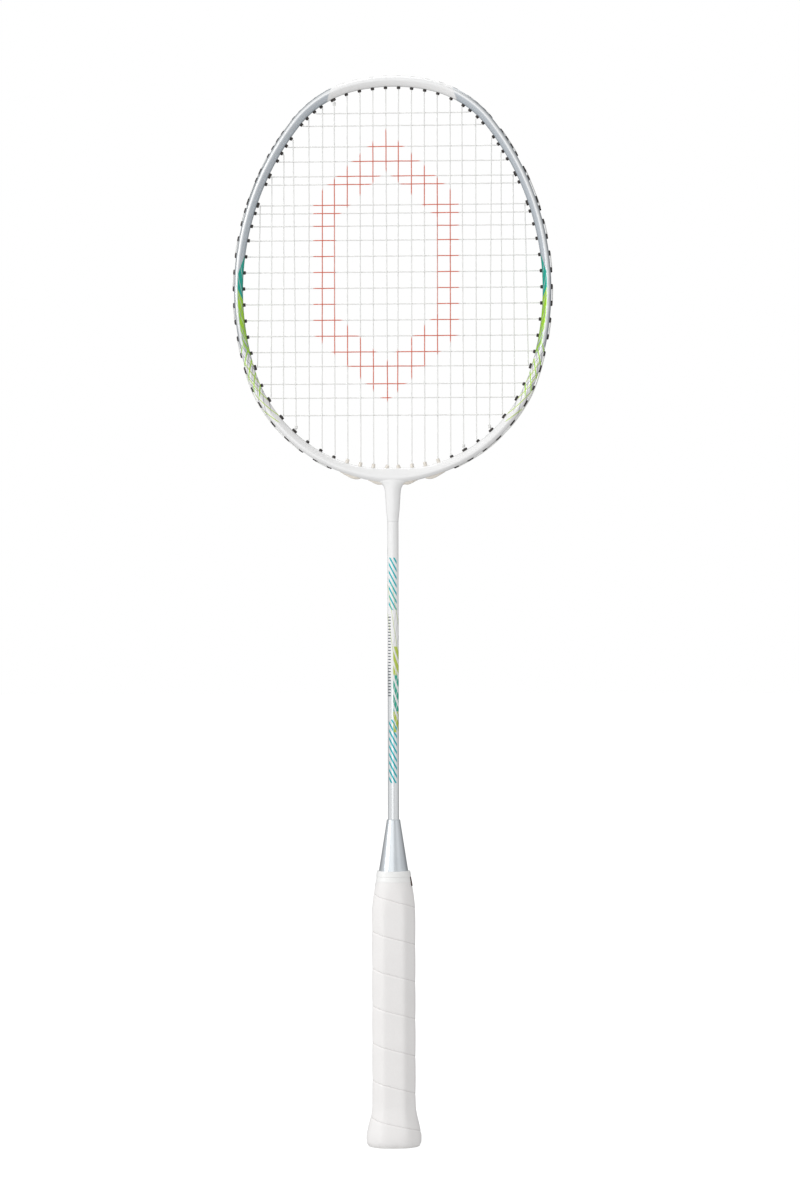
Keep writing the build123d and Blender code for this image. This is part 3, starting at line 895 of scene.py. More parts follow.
@dataclass
class HeadLine:
    """The head's centreline, its width, and places measured from it.

    Attributes:
        crown_z: height of the centreline at the crown.
        arcs: radius and turn of each arc from the crown; the last arc closes the loop.
        widths: width in the plane of the strings, by angle.
        half_depth: half the depth across that plane.
        groove: least depth of the string groove in the outer edge.
        seats: height of a string's middle over the outer edge, by angle; at the crown the
            strings are sunk in the groove.
        flange_least: least thickness of grommet under a string.
        string_radius: the string's radius.
    """

    crown_z: float = 671.5 * MM
    arcs: tuple = ((110.0 * MM, 13.0), (65.0 * MM, 39.2), (172.0 * MM, 55.0))
    widths: tuple = ((0, 6.9 * MM), (20, 6.8 * MM), (45, 6.2 * MM), (90, 5.7 * MM), (115, 5.8 * MM),
                     (140, 6.5 * MM), (160, 6.9 * MM), (166, 7.4 * MM), (174, 9.0 * MM), (180, 10.4 * MM))
    half_depth: float = 5.0 * MM
    groove: float = 0.5 * MM
    seats: tuple = ((0, -0.25 * MM), (44, -0.15 * MM), (60, 0.4 * MM), (74, 0.62 * MM), (120, 0.62 * MM),
                    (140, 0.3 * MM), (180, 0.2 * MM))
    flange_least: float = 0.3 * MM
    string_radius: float = 0.34 * MM

    def __post_init__(self) -> None:
        """Work out each arc's start, centre and run from the crown."""
        start, x, z, run = 0.0, 0.0, self.crown_z, 0.0
        table = []
        for radius, turn in self.arcs:
            lean = math.radians(start)
            centre = x - radius * math.sin(lean), z - radius * math.cos(lean)
            table.append((start, radius, *centre, run))
            start += turn
            run += radius * math.radians(turn)
            lean = math.radians(start)
            x, z = centre[0] + radius * math.sin(lean), centre[1] + radius * math.cos(lean)
        radius = x / math.sin(lean)
        table.append((start, radius, 0.0, z - radius * math.cos(lean), run))
        self.table = np.array(table)

    def arc(self, angle: np.ndarray) -> np.ndarray:
        """The row of the arc table that each angle is in."""
        return self.table[np.clip(np.searchsorted(self.table[:, 0], angle, side="right") - 1, 0, None)]

    def place(self, angle: np.ndarray, side: np.ndarray, height: np.ndarray) -> np.ndarray:
        """Points (x, z) out from the centreline.

        Each is its arc's centre plus (radius + height) times (sine, cosine) of the angle,
        with x on the side asked for.

        Args:
            angle: angles on the head.
            side: 1 for the right half, -1 for the left.
            height: distances out from the centreline.

        Returns:
            The points, with x and z in the last axis.
        """
        row, lean = self.arc(angle), np.radians(angle)
        reach = row[..., 1] + height
        return np.stack([side * (row[..., 2] + reach * np.sin(lean)),
                         row[..., 3] + reach * np.cos(lean)], -1)

    def run(self, angle: np.ndarray) -> np.ndarray:
        """Length along the centreline from the crown."""
        row = self.arc(angle)
        return row[..., 4] + row[..., 1] * np.radians(angle - row[..., 0])

    def half_width(self, angle: np.ndarray) -> np.ndarray:
        """Half the width in the plane of the strings."""
        return through(np.asarray(angle, float), self.widths) / 2

    def seat(self, angle: np.ndarray) -> np.ndarray:
        """Height of a string's middle where it lies in the groove."""
        return self.half_width(angle) + through(np.asarray(angle, float), self.seats)

    def floor(self, angle: np.ndarray) -> np.ndarray:
        """Height of the bottom of the string groove, deep enough for string and flange."""
        under = self.seat(angle) - self.string_radius - self.flange_least
        return np.minimum(self.half_width(angle) - self.groove, under)


@dataclass(frozen=True)
class Hole:
    """A pair of holes, one each side.

    Attributes:
        angle: where they are on the head.
        lean: how far their axis leans from the head's normal, towards the middle.
    """

    angle: float
    lean: float = 0.0


@dataclass
class HolePlan:
    """Where the mains and crosses leave the head.

    Attributes:
        head: the head they are in.
        main_pitch: distance between mains.
        mains: mains on each side.
        top_cross: height of the top cross.
        cross_gaps: how many gaps of each size, down from the top cross.
        reach: how far inside the centreline a string turns into its hole.
        spacing: the nearest that two holes may be along the head.
        sweeps: passes made in moving crowded holes apart.
        heel_hole: the middle mains' hole at the heel, as an angle and a lean.
        shared_top: main and cross that share a hole in the upper half.
        shared_low: the same in the lower half.
        mains_tie: the low main beside whose hole each end of the main string is tied.
        start_tie: the low main where the cross string starts, on the right.
        end_tie: the top main where it ends, on the left.
    """

    head: HeadLine
    main_pitch: float = 8.15 * MM
    mains: int = 11
    top_cross: float = 652.0 * MM
    cross_gaps: tuple = ((3, 9.7 * MM), (3, 8.2 * MM), (3, 9.0 * MM), (11, 10.05 * MM))
    reach: float = 5.3 * MM
    spacing: float = 5.6 * MM
    sweeps: int = 60
    heel_hole: tuple = (176.2, 22.0)
    shared_top: tuple = ((10, 5), (11, 7))
    shared_low: tuple = ((9, 21), (10, 20), (11, 18))
    mains_tie: int = 8
    start_tie: int = 6
    end_tie: int = 5

    def __post_init__(self) -> None:
        """Place every hole."""
        top = {j: self.angle_at((j - 0.5) * self.main_pitch, 2, True) for j in range(1, self.mains + 1)}
        low = {j: self.angle_at((j - 0.5) * self.main_pitch, 2, False) for j in range(2, self.mains + 1)}
        low[1] = self.heel_hole[0]
        gaps = [gap for count, gap in self.cross_gaps for _ in range(count)]
        heights = self.top_cross - np.concatenate([[0], np.cumsum(gaps)])
        cross = {k + 1: self.angle_at(z, 3, True) for k, z in enumerate(heights)}
        for mains, pairs in ((top, self.shared_top), (low, self.shared_low)):
            for j, k in pairs:
                mains[j] = cross[k] = (mains[j] + cross[k]) / 2
        moved = self.spread(set(top.values()) | set(low.values()) | set(cross.values()))
        self.top = {j: Hole(moved[angle]) for j, angle in top.items()}
        self.low = {j: Hole(moved[angle], self.heel_hole[1] if j == 1 else 0.0) for j, angle in low.items()}
        self.cross = {k: Hole(moved[angle]) for k, angle in cross.items()}
        every = set(self.top.values()) | set(self.low.values()) | set(self.cross.values())
        self.holes = sorted(every, key=lambda hole: hole.angle)
        self.shared = {self.top[j] for j, k in self.shared_top} | {self.low[j] for j, k in self.shared_low}
        tied = self.low[self.mains_tie]
        self.ties = ((self.top[self.end_tie], Side.LEFT), (tied, Side.LEFT),
                     (tied, Side.RIGHT), (self.low[self.start_tie], Side.RIGHT))

    def angle_at(self, target: float, column: int, upper: bool) -> float:
        """The angle whose turn-in point meets a main at x, or a cross at z, = target.

        Args:
            target: the x or z to meet.
            column: the arc table's column for that coordinate's centre, 2 for x, 3 for z.
            upper: whether the hole is in the upper half, which matters for x alone.

        Returns:
            The angle in degrees.
        """
        ends = np.append(self.head.table[1:, 0], 180.0)
        for row, end in zip(self.head.table, ends):
            ratio = (target - row[column]) / (row[1] - self.reach)
            if abs(ratio) > 1:
                continue
            angle = math.degrees(math.asin(ratio) if column == 2 else math.acos(ratio))
            angle = angle if upper else 180 - angle
            if row[0] <= angle <= end:
                return angle
        raise ValueError(f"no hole meets {target}")

    def spread(self, angles: set) -> dict:
        """Move crowded neighbours apart.

        Args:
            angles: where the holes are.

        Returns:
            Where each of them goes.
        """
        places = sorted(angles)
        for _ in range(self.sweeps):
            for k in range(len(places) - 1):
                radius = float(self.head.arc(places[k])[1])
                lack = self.spacing - radius * math.radians(places[k + 1] - places[k])
                if lack > 0:
                    turn = math.degrees(lack / 2 / radius)
                    places[k] -= turn
                    places[k + 1] += turn
        return dict(zip(sorted(angles), places))

    def axis(self, hole: Hole, side: Side) -> tuple[np.ndarray, np.ndarray, np.ndarray]:
        """How a hole lies.

        Args:
            hole: the hole.
            side: its side of the head.

        Returns:
            Its place on the centreline, its outward axis and the direction along the head.
        """
        x, z = self.head.place(hole.angle, side.value, 0.0)
        turn = math.radians(hole.angle - hole.lean)
        outward = np.array([side.value * math.sin(turn), 0, math.cos(turn)])
        along = np.array([math.cos(turn), 0, -side.value * math.sin(turn)])
        return np.array([x, 0, z]), outward, along

    def point(self, hole: Hole, side: Side, lane: Face, height: float) -> np.ndarray:
        """A point on a hole's axis at a height from the centreline, in a string's layer."""
        start, outward, _ = self.axis(hole, side)
        return start + outward * height / math.cos(math.radians(hole.lean)) + np.array([0, lane.value, 0])


@dataclass
class HeadFrame:
    """The carbon hoop: one aero section carried round the head, with the string groove.

    Attributes:
        head: the head's line.
        rows: sections round the hoop.
        columns: points round each section.
        exponent: how square the section is.
        crest: how far the deepest line sits outside the middle, as a share of half width.
        facet: how much the two flanks are flattened towards that line.
        flank: how steeply the flanks rise.
        groove_half: half the groove's width.
        groove_edge: how much of y the groove's wall takes.
    """

    head: HeadLine
    rows: int = 720
    columns: int = 72
    exponent: float = 2.5
    crest: float = 0.2
    facet: float = 0.42
    flank: float = 1.25
    groove_half: float = 1.9 * MM
    groove_edge: float = 0.35 * MM

    def section(self) -> tuple[np.ndarray, np.ndarray]:
        """The hoop's section.

        A superellipse gives the round edges. Mixing in a share of a straight slope makes
        the two flanks, and u is pushed out by crest times one less its square.

        Returns:
            u, outward in half widths, and v, across in metres.
        """
        turn = circle(self.columns)
        u = rounded(np.cos(turn), self.exponent)
        slope = np.sign(np.sin(turn)) * np.minimum(self.flank * (1 - np.abs(u)), 1)
        v = (1 - self.facet) * rounded(np.sin(turn), self.exponent) + self.facet * slope
        return u + self.crest * (1 - u ** 2), v * self.head.half_depth

    def build(self, finish: Material) -> None:
        """Make the hoop: the section at every angle, with the groove pressed into its outside.

        Args:
            finish: the lacquer.
        """
        turn = np.arange(self.rows) / self.rows * 360.0
        side = np.where(turn > 180, -1.0, 1.0)
        angle = np.where(turn > 180, 360 - turn, turn)
        u, v = self.section()
        half = self.head.half_width(angle)
        wall = np.clip((self.groove_half - np.abs(v)) / self.groove_edge + 0.5, 0, 1)
        share = wall * wall * (3 - 2 * wall) * (u > 0.5)
        edge = half[:, None] * u[None]
        height = edge + np.minimum(self.head.floor(angle)[:, None] - edge, 0) * share[None]
        place = self.head.place(angle[:, None] + 0 * height, side[:, None], height)
        points = np.stack([place[..., 0], np.broadcast_to(v, height.shape), place[..., 1]], -1)
        run = np.append(self.head.run(angle), 0.0) / MM
        uv = np.stack([np.broadcast_to(run[:, None], (self.rows + 1, self.columns + 1)),
                       np.broadcast_to(np.append(u, u[0]), (self.rows + 1, self.columns + 1))], -1)
        make_piece("head_hoop", [Patch(points, loop_rows=True, uv=uv)], finish,
                   ("head_frame",), 50)


@dataclass
class Throat:
    """The T joint's stem, flaring from the shaft up into the heel of the hoop.

    Attributes:
        widths: half width by height, in millimetres.
        depths: half depth by height, in millimetres.
        rows: sections up the stem.
        columns: points round each.
        exponent: how square the section is.
    """

    widths: tuple = ((393.8, 3.56), (395.0, 3.6), (401.0, 4.2), (409.0, 4.7), (412.5, 4.95),
                     (415.2, 5.5), (416.9, 6.5), (418.1, 8.0), (419.0, 9.6), (422.5, 9.2))
    depths: tuple = ((393.8, 3.56), (395.0, 3.6), (401.0, 4.05), (409.0, 4.4), (417.0, 4.72),
                     (422.5, 4.75))
    rows: int = 60
    columns: int = 48
    exponent: float = 2.1

    def build(self, finish: Material) -> None:
        """Make the stem from superellipse sections.

        Args:
            finish: the lacquer.
        """
        z = np.linspace(self.widths[0][0], self.widths[-1][0], self.rows)
        turn = circle(self.columns)
        c, s = rounded(np.cos(turn), self.exponent), rounded(np.sin(turn), self.exponent)
        points = np.stack([through(z, self.widths)[:, None] * c, through(z, self.depths)[:, None] * s,
                           np.repeat(z[:, None], self.columns, 1)], -1) * MM
        uv = np.zeros((self.rows, self.columns + 1, 2))
        make_piece("throat_stem", [Patch(points, uv=uv, cap=True)], finish, ("t_joint",))


# ------ shaft and handle


@dataclass
class Shaft:
    """The shaft, a straight tube from the stem down into the handle.

    Attributes:
        radius: its radius.
        rows: rings along it.
        sides: points round it.
    """

    radius: float = 3.5 * MM
    rows: int = 60
    sides: int = 40

    def build(self, finish: Material) -> None:
        """Turn the shaft.

        Args:
            finish: the lacquer.
        """
        low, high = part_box("shaft")
        height = np.linspace(low[2], high[2], self.rows)
        profile = np.stack([np.full_like(height, self.radius), height], -1)
        make_piece("shaft_tube", [lathe(profile, self.sides)], finish, ("shaft",), 60)


@dataclass
class ConeCap:
    """The moulded cone over the top of the handle.

    Attributes:
        outline: radius and height from the top lip down to the foot under the grip, in
            millimetres.
        round: radius of the top lip.
        bore: radius where it closes, just inside the shaft.
        lip_rows: rings round the lip.
        rows: rings down the side.
        sides: points round it.
    """

    outline: tuple = ((4.28, 205.3), (4.5, 203.6), (9.25, 173.7), (10.0, 160.0))
    round: float = 0.7
    bore: float = 3.4
    lip_rows: int = 7
    rows: int = 12
    sides: int = 56

    def build(self, finish: Material) -> None:
        """Turn the cone; its lip is a quarter circle into the shaft.

        Args:
            finish: the plastic.
        """
        turn = np.radians(np.linspace(90, 0, self.lip_rows))
        top, low = self.outline[0], self.outline[2]
        lip = np.stack([top[0] - self.round + self.round * np.cos(turn),
                        top[1] + self.round * np.sin(turn)], -1)
        body = np.array(self.outline[1:])
        side = np.linspace(body[0], low, self.rows)
        profile = np.vstack([[(self.bore, lip[0, 1])], lip, side, body[-1:],
                             [(self.bore, body[-1, 1])]]) * MM
        make_piece("cone", [lathe(profile, self.sides)], finish, ("cone_cap",), 40)


@dataclass
class HandleShape:
    """The outside of the grip: a bevelled box section whose size changes with height.

    Attributes:
        widths: full width along X, by height, in millimetres.
        depths: full depth along Y.
        bevel: the bevel as a share of the width.
        twist: how far the section is turned about the shaft, in degrees, as it was glued.
        softness: the power that rounds the edges between the flats, by height; a low one
            makes the section round.
    """

    widths: tuple = ((0.0, 33.0), (1.6, 33.7), (3.6, 34.2), (7.0, 34.3), (10.5, 33.0),
                     (14.5, 31.2), (19.0, 28.9), (25.0, 27.1), (34.0, 26.9), (148.0, 26.9),
                     (158.0, 25.0), (166.0, 22.2), (170.0, 20.6), (173.4, 19.6))
    depths: tuple = ((0.0, 30.0), (1.6, 30.7), (3.6, 31.2), (7.0, 31.3), (10.5, 30.0),
                     (14.5, 28.2), (19.0, 25.9), (25.0, 24.1), (34.0, 23.9), (148.0, 23.9),
                     (158.0, 22.5), (166.0, 21.0), (170.0, 20.2), (173.4, 19.6))
    bevel: float = 0.245
    twist: float = 4.0
    softness: tuple = ((0.0, 13.0), (12.0, 13.0), (26.0, 22.0), (140.0, 22.0), (152.0, 15.0), (165.0, 6.0))

    def radius(self, turn: np.ndarray, height: np.ndarray) -> np.ndarray:
        """The handle's radius.

        Each flat's own radius is its distance over the cosine of the turn from its
        normal. A high power mean of the inverses takes the nearest flat and rounds the
        edge to the next; the size it loses by that is given back.

        Args:
            turn: directions from +X, in radians.
            height: heights in metres.

        Returns:
            The radii in metres.
        """
        z = height / MM
        power = through(z, self.softness)
        half_x, half_y = through(z, self.widths) / 2, through(z, self.depths) / 2
        corner = (half_x + half_y - self.bevel * 2 * half_x) / math.sqrt(2)
        total = 0
        for k in range(8):
            flat = (half_x, corner, half_y, corner)[k % 4]
            lean = np.maximum(np.cos(turn - math.radians(self.twist) - k * math.pi / 4), 0)
            total = total + (lean / flat) ** power
        lost = 1 + 2 * math.cos(math.pi / 4) ** power
        return (total / lost) ** (-1 / power) * MM


@dataclass
class Grip:
    """The grip tape: a strip wound up the handle with its edges just meeting.

    Attributes:
        shape: the handle's outside.
        pitch: rise of the tape in one turn.
        seam_height: where a seam crosses the right side.
        skew: how much steeper the tape lies behind than in front.
        notch: depth of the seam's valley.
        valley: half its width, as a share of a turn.
        valley_power: how sharply its sides drop.
        lapped: how deep its upper side is beside the lower one.
        swell: how far the middle of each turn stands up.
        columns: points round the handle.
        phases: where rows lie in one turn of tape; they crowd at the seam.
        wall: thickness of the tape.
        rim: rounding of its bottom edge.
        bottom: lowest point.
        top: highest point.
    """

    shape: HandleShape
    pitch: float = 23.4 * MM
    seam_height: float = 149.9 * MM
    skew: float = 0.6 * MM
    notch: float = 0.42 * MM
    valley: float = 0.03
    valley_power: float = 1.6
    lapped: float = 0.55
    swell: float = 0.25 * MM
    columns: int = 128
    phases: tuple = (0.0, 0.008, 0.018, 0.03, 0.045, 0.07, 0.11, 0.17, 0.25, 0.34, 0.43, 0.52, 0.61,
                     0.70, 0.78, 0.85, 0.90, 0.935, 0.958, 0.972, 0.984, 0.993)
    wall: float = 1.5 * MM
    rim: float = 0.9 * MM
    bottom: float = 0.9 * MM
    top: float = 168.0 * MM

    def phase(self, turn: np.ndarray, height: np.ndarray) -> np.ndarray:
        """Turns of tape below a place: height plus the helix's fall, over the pitch."""
        fall = self.pitch * turn / (2 * math.pi) - self.skew * (np.cos(turn) - 1)
        return (height - self.seam_height + fall) / self.pitch

    def relief(self, phase: np.ndarray) -> np.ndarray:
        """How far the tape stands out: a low swell less a valley at each whole turn.

        Args:
            phase: turns of tape.

        Returns:
            Heights over the handle's outside.
        """
        part = phase - np.floor(phase)
        near = np.minimum(part, 1 - part) / self.valley
        valley = np.where(part > 0.5, self.lapped, 1.0) * np.exp(-(near * self.valley_power) ** 2)
        return self.swell * np.sqrt(np.sin(math.pi * part)) - self.notch * valley

    def build(self, finish: Material) -> None:
        """Wind the tape: rows follow the helix, held between the bottom and the top.

        The inside is two rows a turn, a wall's thickness within the handle's outside.

        Args:
            finish: the tape's material.
        """
        turn = np.linspace(0, 2 * math.pi, self.columns + 1)
        first = math.floor(float(self.phase(turn[0], self.bottom)))
        last = math.ceil(float(self.phase(turn[-1], self.top)))
        rows = (np.arange(first, last + 1)[:, None] + np.array(self.phases)).ravel()[:, None]
        fall = self.phase(turn, self.seam_height) * self.pitch
        height = np.clip(self.seam_height + rows * self.pitch - fall, self.bottom, self.top)
        phase = self.phase(turn, height)
        outer = self.shape.radius(turn, height) + self.relief(phase)
        rim = np.clip((height - self.bottom) / (2 * self.rim), 0, 1)
        outer = outer - self.rim * (1 - np.sqrt(1 - (1 - rim) ** 2))
        half_turn = len(self.phases) // 2
        inside = np.append(len(rows) - 1, np.arange(0, len(rows), half_turn)[::-1])
        radius = np.vstack([outer, self.shape.radius(turn, height[inside]) - self.wall])
        height = np.vstack([height, height[inside]])
        points = polar(radius, turn, height)
        turns = np.broadcast_to(turn / (2 * math.pi), phase.shape)
        uv = np.stack([turns, phase], -1)
        uv = np.concatenate([uv, uv[inside], uv[:1]])
        patch = Patch(points, loop_rows=True, loop_columns=False, uv=uv)
        make_piece("grip_winding", [patch], finish, ("grip_tape",), 60)


@dataclass
class FinishingTape:
    """The vinyl tape round the top of the grip: its turns, and a dark brown band where the strip ends.

    Attributes:
        shape: the handle's outside.
        turns: bottom, top and thickness of each turn.
        levels: where the rings of points lie between bottom and top.
        edge: width of the rounding at each edge.
        edge_drop: how far an edge falls away.
        inset: how far the inside lies within the handle's outside.
        columns: points round it.
        end_at: direction of the strip's end, in degrees from +X.
        end_span: how many degrees the end covers.
        end_rise: how far its lower edge stands above the lowest turn's.
        end_thick: how much thicker it is than that turn.
    """

    shape: HandleShape
    turns: tuple = ((163.9 * MM, 168.6 * MM, 0.22 * MM), (166.6 * MM, 170.3 * MM, 0.38 * MM),
                    (169.8 * MM, 173.6 * MM, 0.68 * MM))
    levels: tuple = (0.0, 0.03, 0.08, 0.16, 0.32, 0.5, 0.68, 0.84, 0.92, 0.97, 1.0)
    edge: float = 0.5 * MM
    edge_drop: float = 0.4 * MM
    inset: float = 1.0 * MM
    columns: int = 96
    end_at: float = -8.0
    end_span: float = 16.0
    end_rise: float = 0.1 * MM
    end_thick: float = 0.4 * MM

    def ring(self, low: float, high: float, thick: float, start: float, span: float) -> Patch:
        """One band between two heights.

        Its outside is the handle's radius plus the thickness, less a quarter circle at
        each edge; its inside is a little within.

        Args:
            low: its lower edge.
            high: its upper edge.
            thick: how far it stands over the handle.
            start: where it starts, in degrees from +X.
            span: how many degrees it covers; 360 closes it.

        Returns:
            The closed band.
        """
        whole = span >= 360
        turn = np.radians(start + np.linspace(0, span, self.columns + 1)[:self.columns + (not whole)])
        part = np.array(self.levels)
        near = np.minimum(part, 1 - part) * (high - low)
        soft = np.sqrt(np.clip(1 - (1 - np.clip(near / self.edge, 0, 1)) ** 2, 0, 1))
        height = low + part * (high - low)
        stand = thick - self.edge_drop * (1 - soft)
        outer = self.shape.radius(turn[None], height[:, None]) + stand[:, None]
        inner = self.shape.radius(turn[None], height[[-1, 0], None]) - self.inset
        radius = np.vstack([outer, inner])
        points = polar(radius, turn, np.append(height, height[[-1, 0]])[:, None])
        if not whole:
            ends = [np.repeat(points[:, k].mean(0)[None], len(points), 0)[:, None] for k in (0, -1)]
            points = np.concatenate([ends[0], points, ends[1]], 1)
        return Patch(points, loop_rows=True, loop_columns=whole)

    def build(self, finish: Material, edge: Material) -> None:
        """Wrap the turns, then lay a dark brown band where the strip ends over the lower ones.

        Args:
            finish: the tape's material.
            edge: the dark brown material of that band.
        """
        bands = [self.ring(low, high, thick, 0, 360) for low, high, thick in self.turns]
        make_piece("finishing_band", bands, finish, ("finishing_tape",), 50)
        low, _, thick = self.turns[0]
        end = self.ring(low + self.end_rise, self.turns[1][1], thick + self.end_thick,
                        self.end_at - self.end_span / 2, self.end_span)
        make_piece("finishing_band_end", [end], edge, ("finishing_tape",), 50)


@dataclass
class ButtCap:
    """The end plate, slightly domed, with a rounded rim and a crease inside it.

    Attributes:
        shape: the handle's outside.
        outline: share of the handle's radius, and height in millimetres, from the middle out.
        level: height at which that radius is taken.
        columns: points round it.
    """

    shape: HandleShape
    outline: tuple = ((0.0, 0.0), (0.3, 0.02), (0.6, 0.08), (0.80, 0.16), (0.835, 0.34),
                      (0.86, 0.36), (0.885, 0.2), (0.91, 0.22), (0.94, 0.42), (0.962, 0.72),
                      (0.972, 1.1), (0.972, 2.2), (0.90, 2.6))
    level: float = 1.6 * MM
    columns: int = 96

    def build(self, finish: Material) -> None:
        """Make the plate from rings of the handle's section.

        Args:
            finish: the plastic.
        """
        share, height = np.array(self.outline).T
        turn = circle(self.columns)
        radius = share[:, None] * self.shape.radius(turn, np.full(self.columns, self.level))
        points = polar(radius, turn, height[:, None] * MM)
        make_piece("butt_plate", [Patch(points, cap=True)], finish, ("butt_cap",), 50)


# ------ grommets and heel strips


@dataclass
class Grommets:
    """The moulded sleeves that line the holes.

    Attributes:
        head: the head's line.
        plan: its holes.
        bore: radius of the sleeve's bore.
        barrel: outer radius of the sleeve.
        proud: how far it stands out inside the head.
        flange: half size of the flange in the groove.
        ridge: how far the flange's two ridges stand over a string's middle.
        channel: half the width of the channel between them, where the string lies.
        slot: how much longer a shared or tie-off sleeve is.
        ease: small easing of an edge.
        corner: bevel of the flange's outer corner.
        mouth: how far the mouth opens beyond the bore.
        mouth_depth: how deep the mouth reaches below the groove.
        tip: bevel of the sleeve's tip on the bore's side.
        shoulder: drop of the tip to its outer side.
        taper: how far up the tip thickens to the full barrel.
        columns: points round each half of a sleeve.
    """

    head: HeadLine
    plan: HolePlan
    bore: float = 0.84 * MM
    barrel: float = 1.14 * MM
    proud: float = 1.4 * MM
    flange: float = 1.68 * MM
    ridge: float = 0.12 * MM
    channel: float = 0.78 * MM
    slot: float = 1.2 * MM
    ease: float = 0.1 * MM
    corner: float = 0.25 * MM
    mouth: float = 0.24 * MM
    mouth_depth: float = 0.3 * MM
    tip: float = 0.12 * MM
    shoulder: float = 0.16 * MM
    taper: float = 0.5 * MM
    columns: int = 8

    def profile(self, hole: Hole, proud: float, flanged: bool) -> np.ndarray:
        """A sleeve's closed profile.

        Args:
            hole: the hole it lines.
            proud: how far it stands out inside the head.
            flanged: whether it has its own flange.

        Returns:
            Rows of radius, height from the centreline, and squareness.
        """
        end = -self.head.half_width(hole.angle) - proud
        floor = self.head.floor(hole.angle)
        top = self.head.seat(hole.angle) + self.ridge if flanged else floor
        foot = [(self.barrel, floor - self.ease, 0)]
        if flanged:
            foot += [(self.flange, floor + HAIR, 1), (self.flange, top - self.corner, 1),
                     (self.flange - self.corner, top, 1)]
        foot += [(self.bore + self.mouth, top, 0), (self.bore, floor - self.mouth_depth, 0)]
        barrel = [(self.bore, end + self.ease, 0), (self.bore + self.tip, end, 0),
                  (self.barrel - self.ease, end + self.shoulder, 0), (self.barrel, end + self.taper, 0)]
        return np.array(barrel + foot)

    def sleeve(self, hole: Hole, side: Side, extra: float = 0.0, proud: float | None = None,
               flanged: bool = True) -> Patch:
        """One sleeve: its profile turned about the hole, its two halves drawn apart by extra.

        Args:
            hole: the hole it lines.
            side: which half of the head.
            extra: how much longer than wide it is.
            proud: how far it stands out inside, if not the usual.
            flanged: whether it has its own flange.

        Returns:
            The sleeve as a closed ring.
        """
        radius, height, square = self.profile(hole, self.proud if proud is None else proud, flanged).T
        half = np.linspace(-90, 90, self.columns + 1)
        turn = np.radians(np.concatenate([half, half + 180]))
        shift = np.concatenate([np.full(half.shape, extra / 2), np.full(half.shape, -extra / 2)])
        c, s = np.cos(turn), np.sin(turn)
        round_off = (np.abs(c) ** 5 + np.abs(s) ** 5) ** (-1 / 5)
        scale = 1 + (round_off[None] - 1) * square[:, None]
        start, outward, along = self.plan.axis(hole, side)
        a = radius[:, None] * scale * c + shift
        b = radius[:, None] * scale * s
        under = float(self.head.seat(hole.angle)) - self.head.string_radius - HAIR
        height = np.where(np.abs(b) < self.channel, np.minimum(height[:, None], under), height[:, None])
        points = start + height[..., None] * outward + a[..., None] * along
        return Patch(points + b[..., None] * np.array([0, 1, 0]), loop_rows=True)

    def extra(self, hole: Hole, side: Side) -> float:
        """How much longer the sleeve at a hole is."""
        return self.slot if hole in self.plan.shared or (hole, side) in self.plan.ties else 0.0

    def build(self, finish: Material) -> None:
        """Make each group that the frame has a node for.

        Args:
            finish: the plastic.
        """
        plan = self.plan
        shoulder = [h for h in plan.holes if plan.top[6].angle <= h.angle <= plan.cross[7].angle]
        flank = [h for h in plan.holes if plan.cross[8].angle <= h.angle <= plan.cross[19].angle]
        groups = {"crown_grommets": [(plan.top[j], side) for j in range(1, 6) for side in Side]}
        for side in Side:
            word = side.name.lower()
            groups[f"shoulder_grommets_{word}"] = [(h, side) for h in shoulder if h not in plan.shared]
            groups[f"side_grommets_{word}"] = [(h, side) for h in flank if h not in plan.shared]
            groups[f"lower_grommets_{word}"] = [(plan.low[j], side) for j in range(5, 9)]
            groups[f"shared_grommets_{word}"] = [(h, side) for h in plan.holes if h in plan.shared]
        groups = {name: [pair for pair in pairs if pair not in plan.ties]
                  for name, pairs in groups.items()}
        groups["tie_off_grommets"] = list(plan.ties)
        for name, pairs in groups.items():
            patches = [self.sleeve(hole, side, self.extra(hole, side)) for hole, side in pairs]
            make_piece(name.replace("grommets", "sleeves"), patches, finish, (name,), 50)


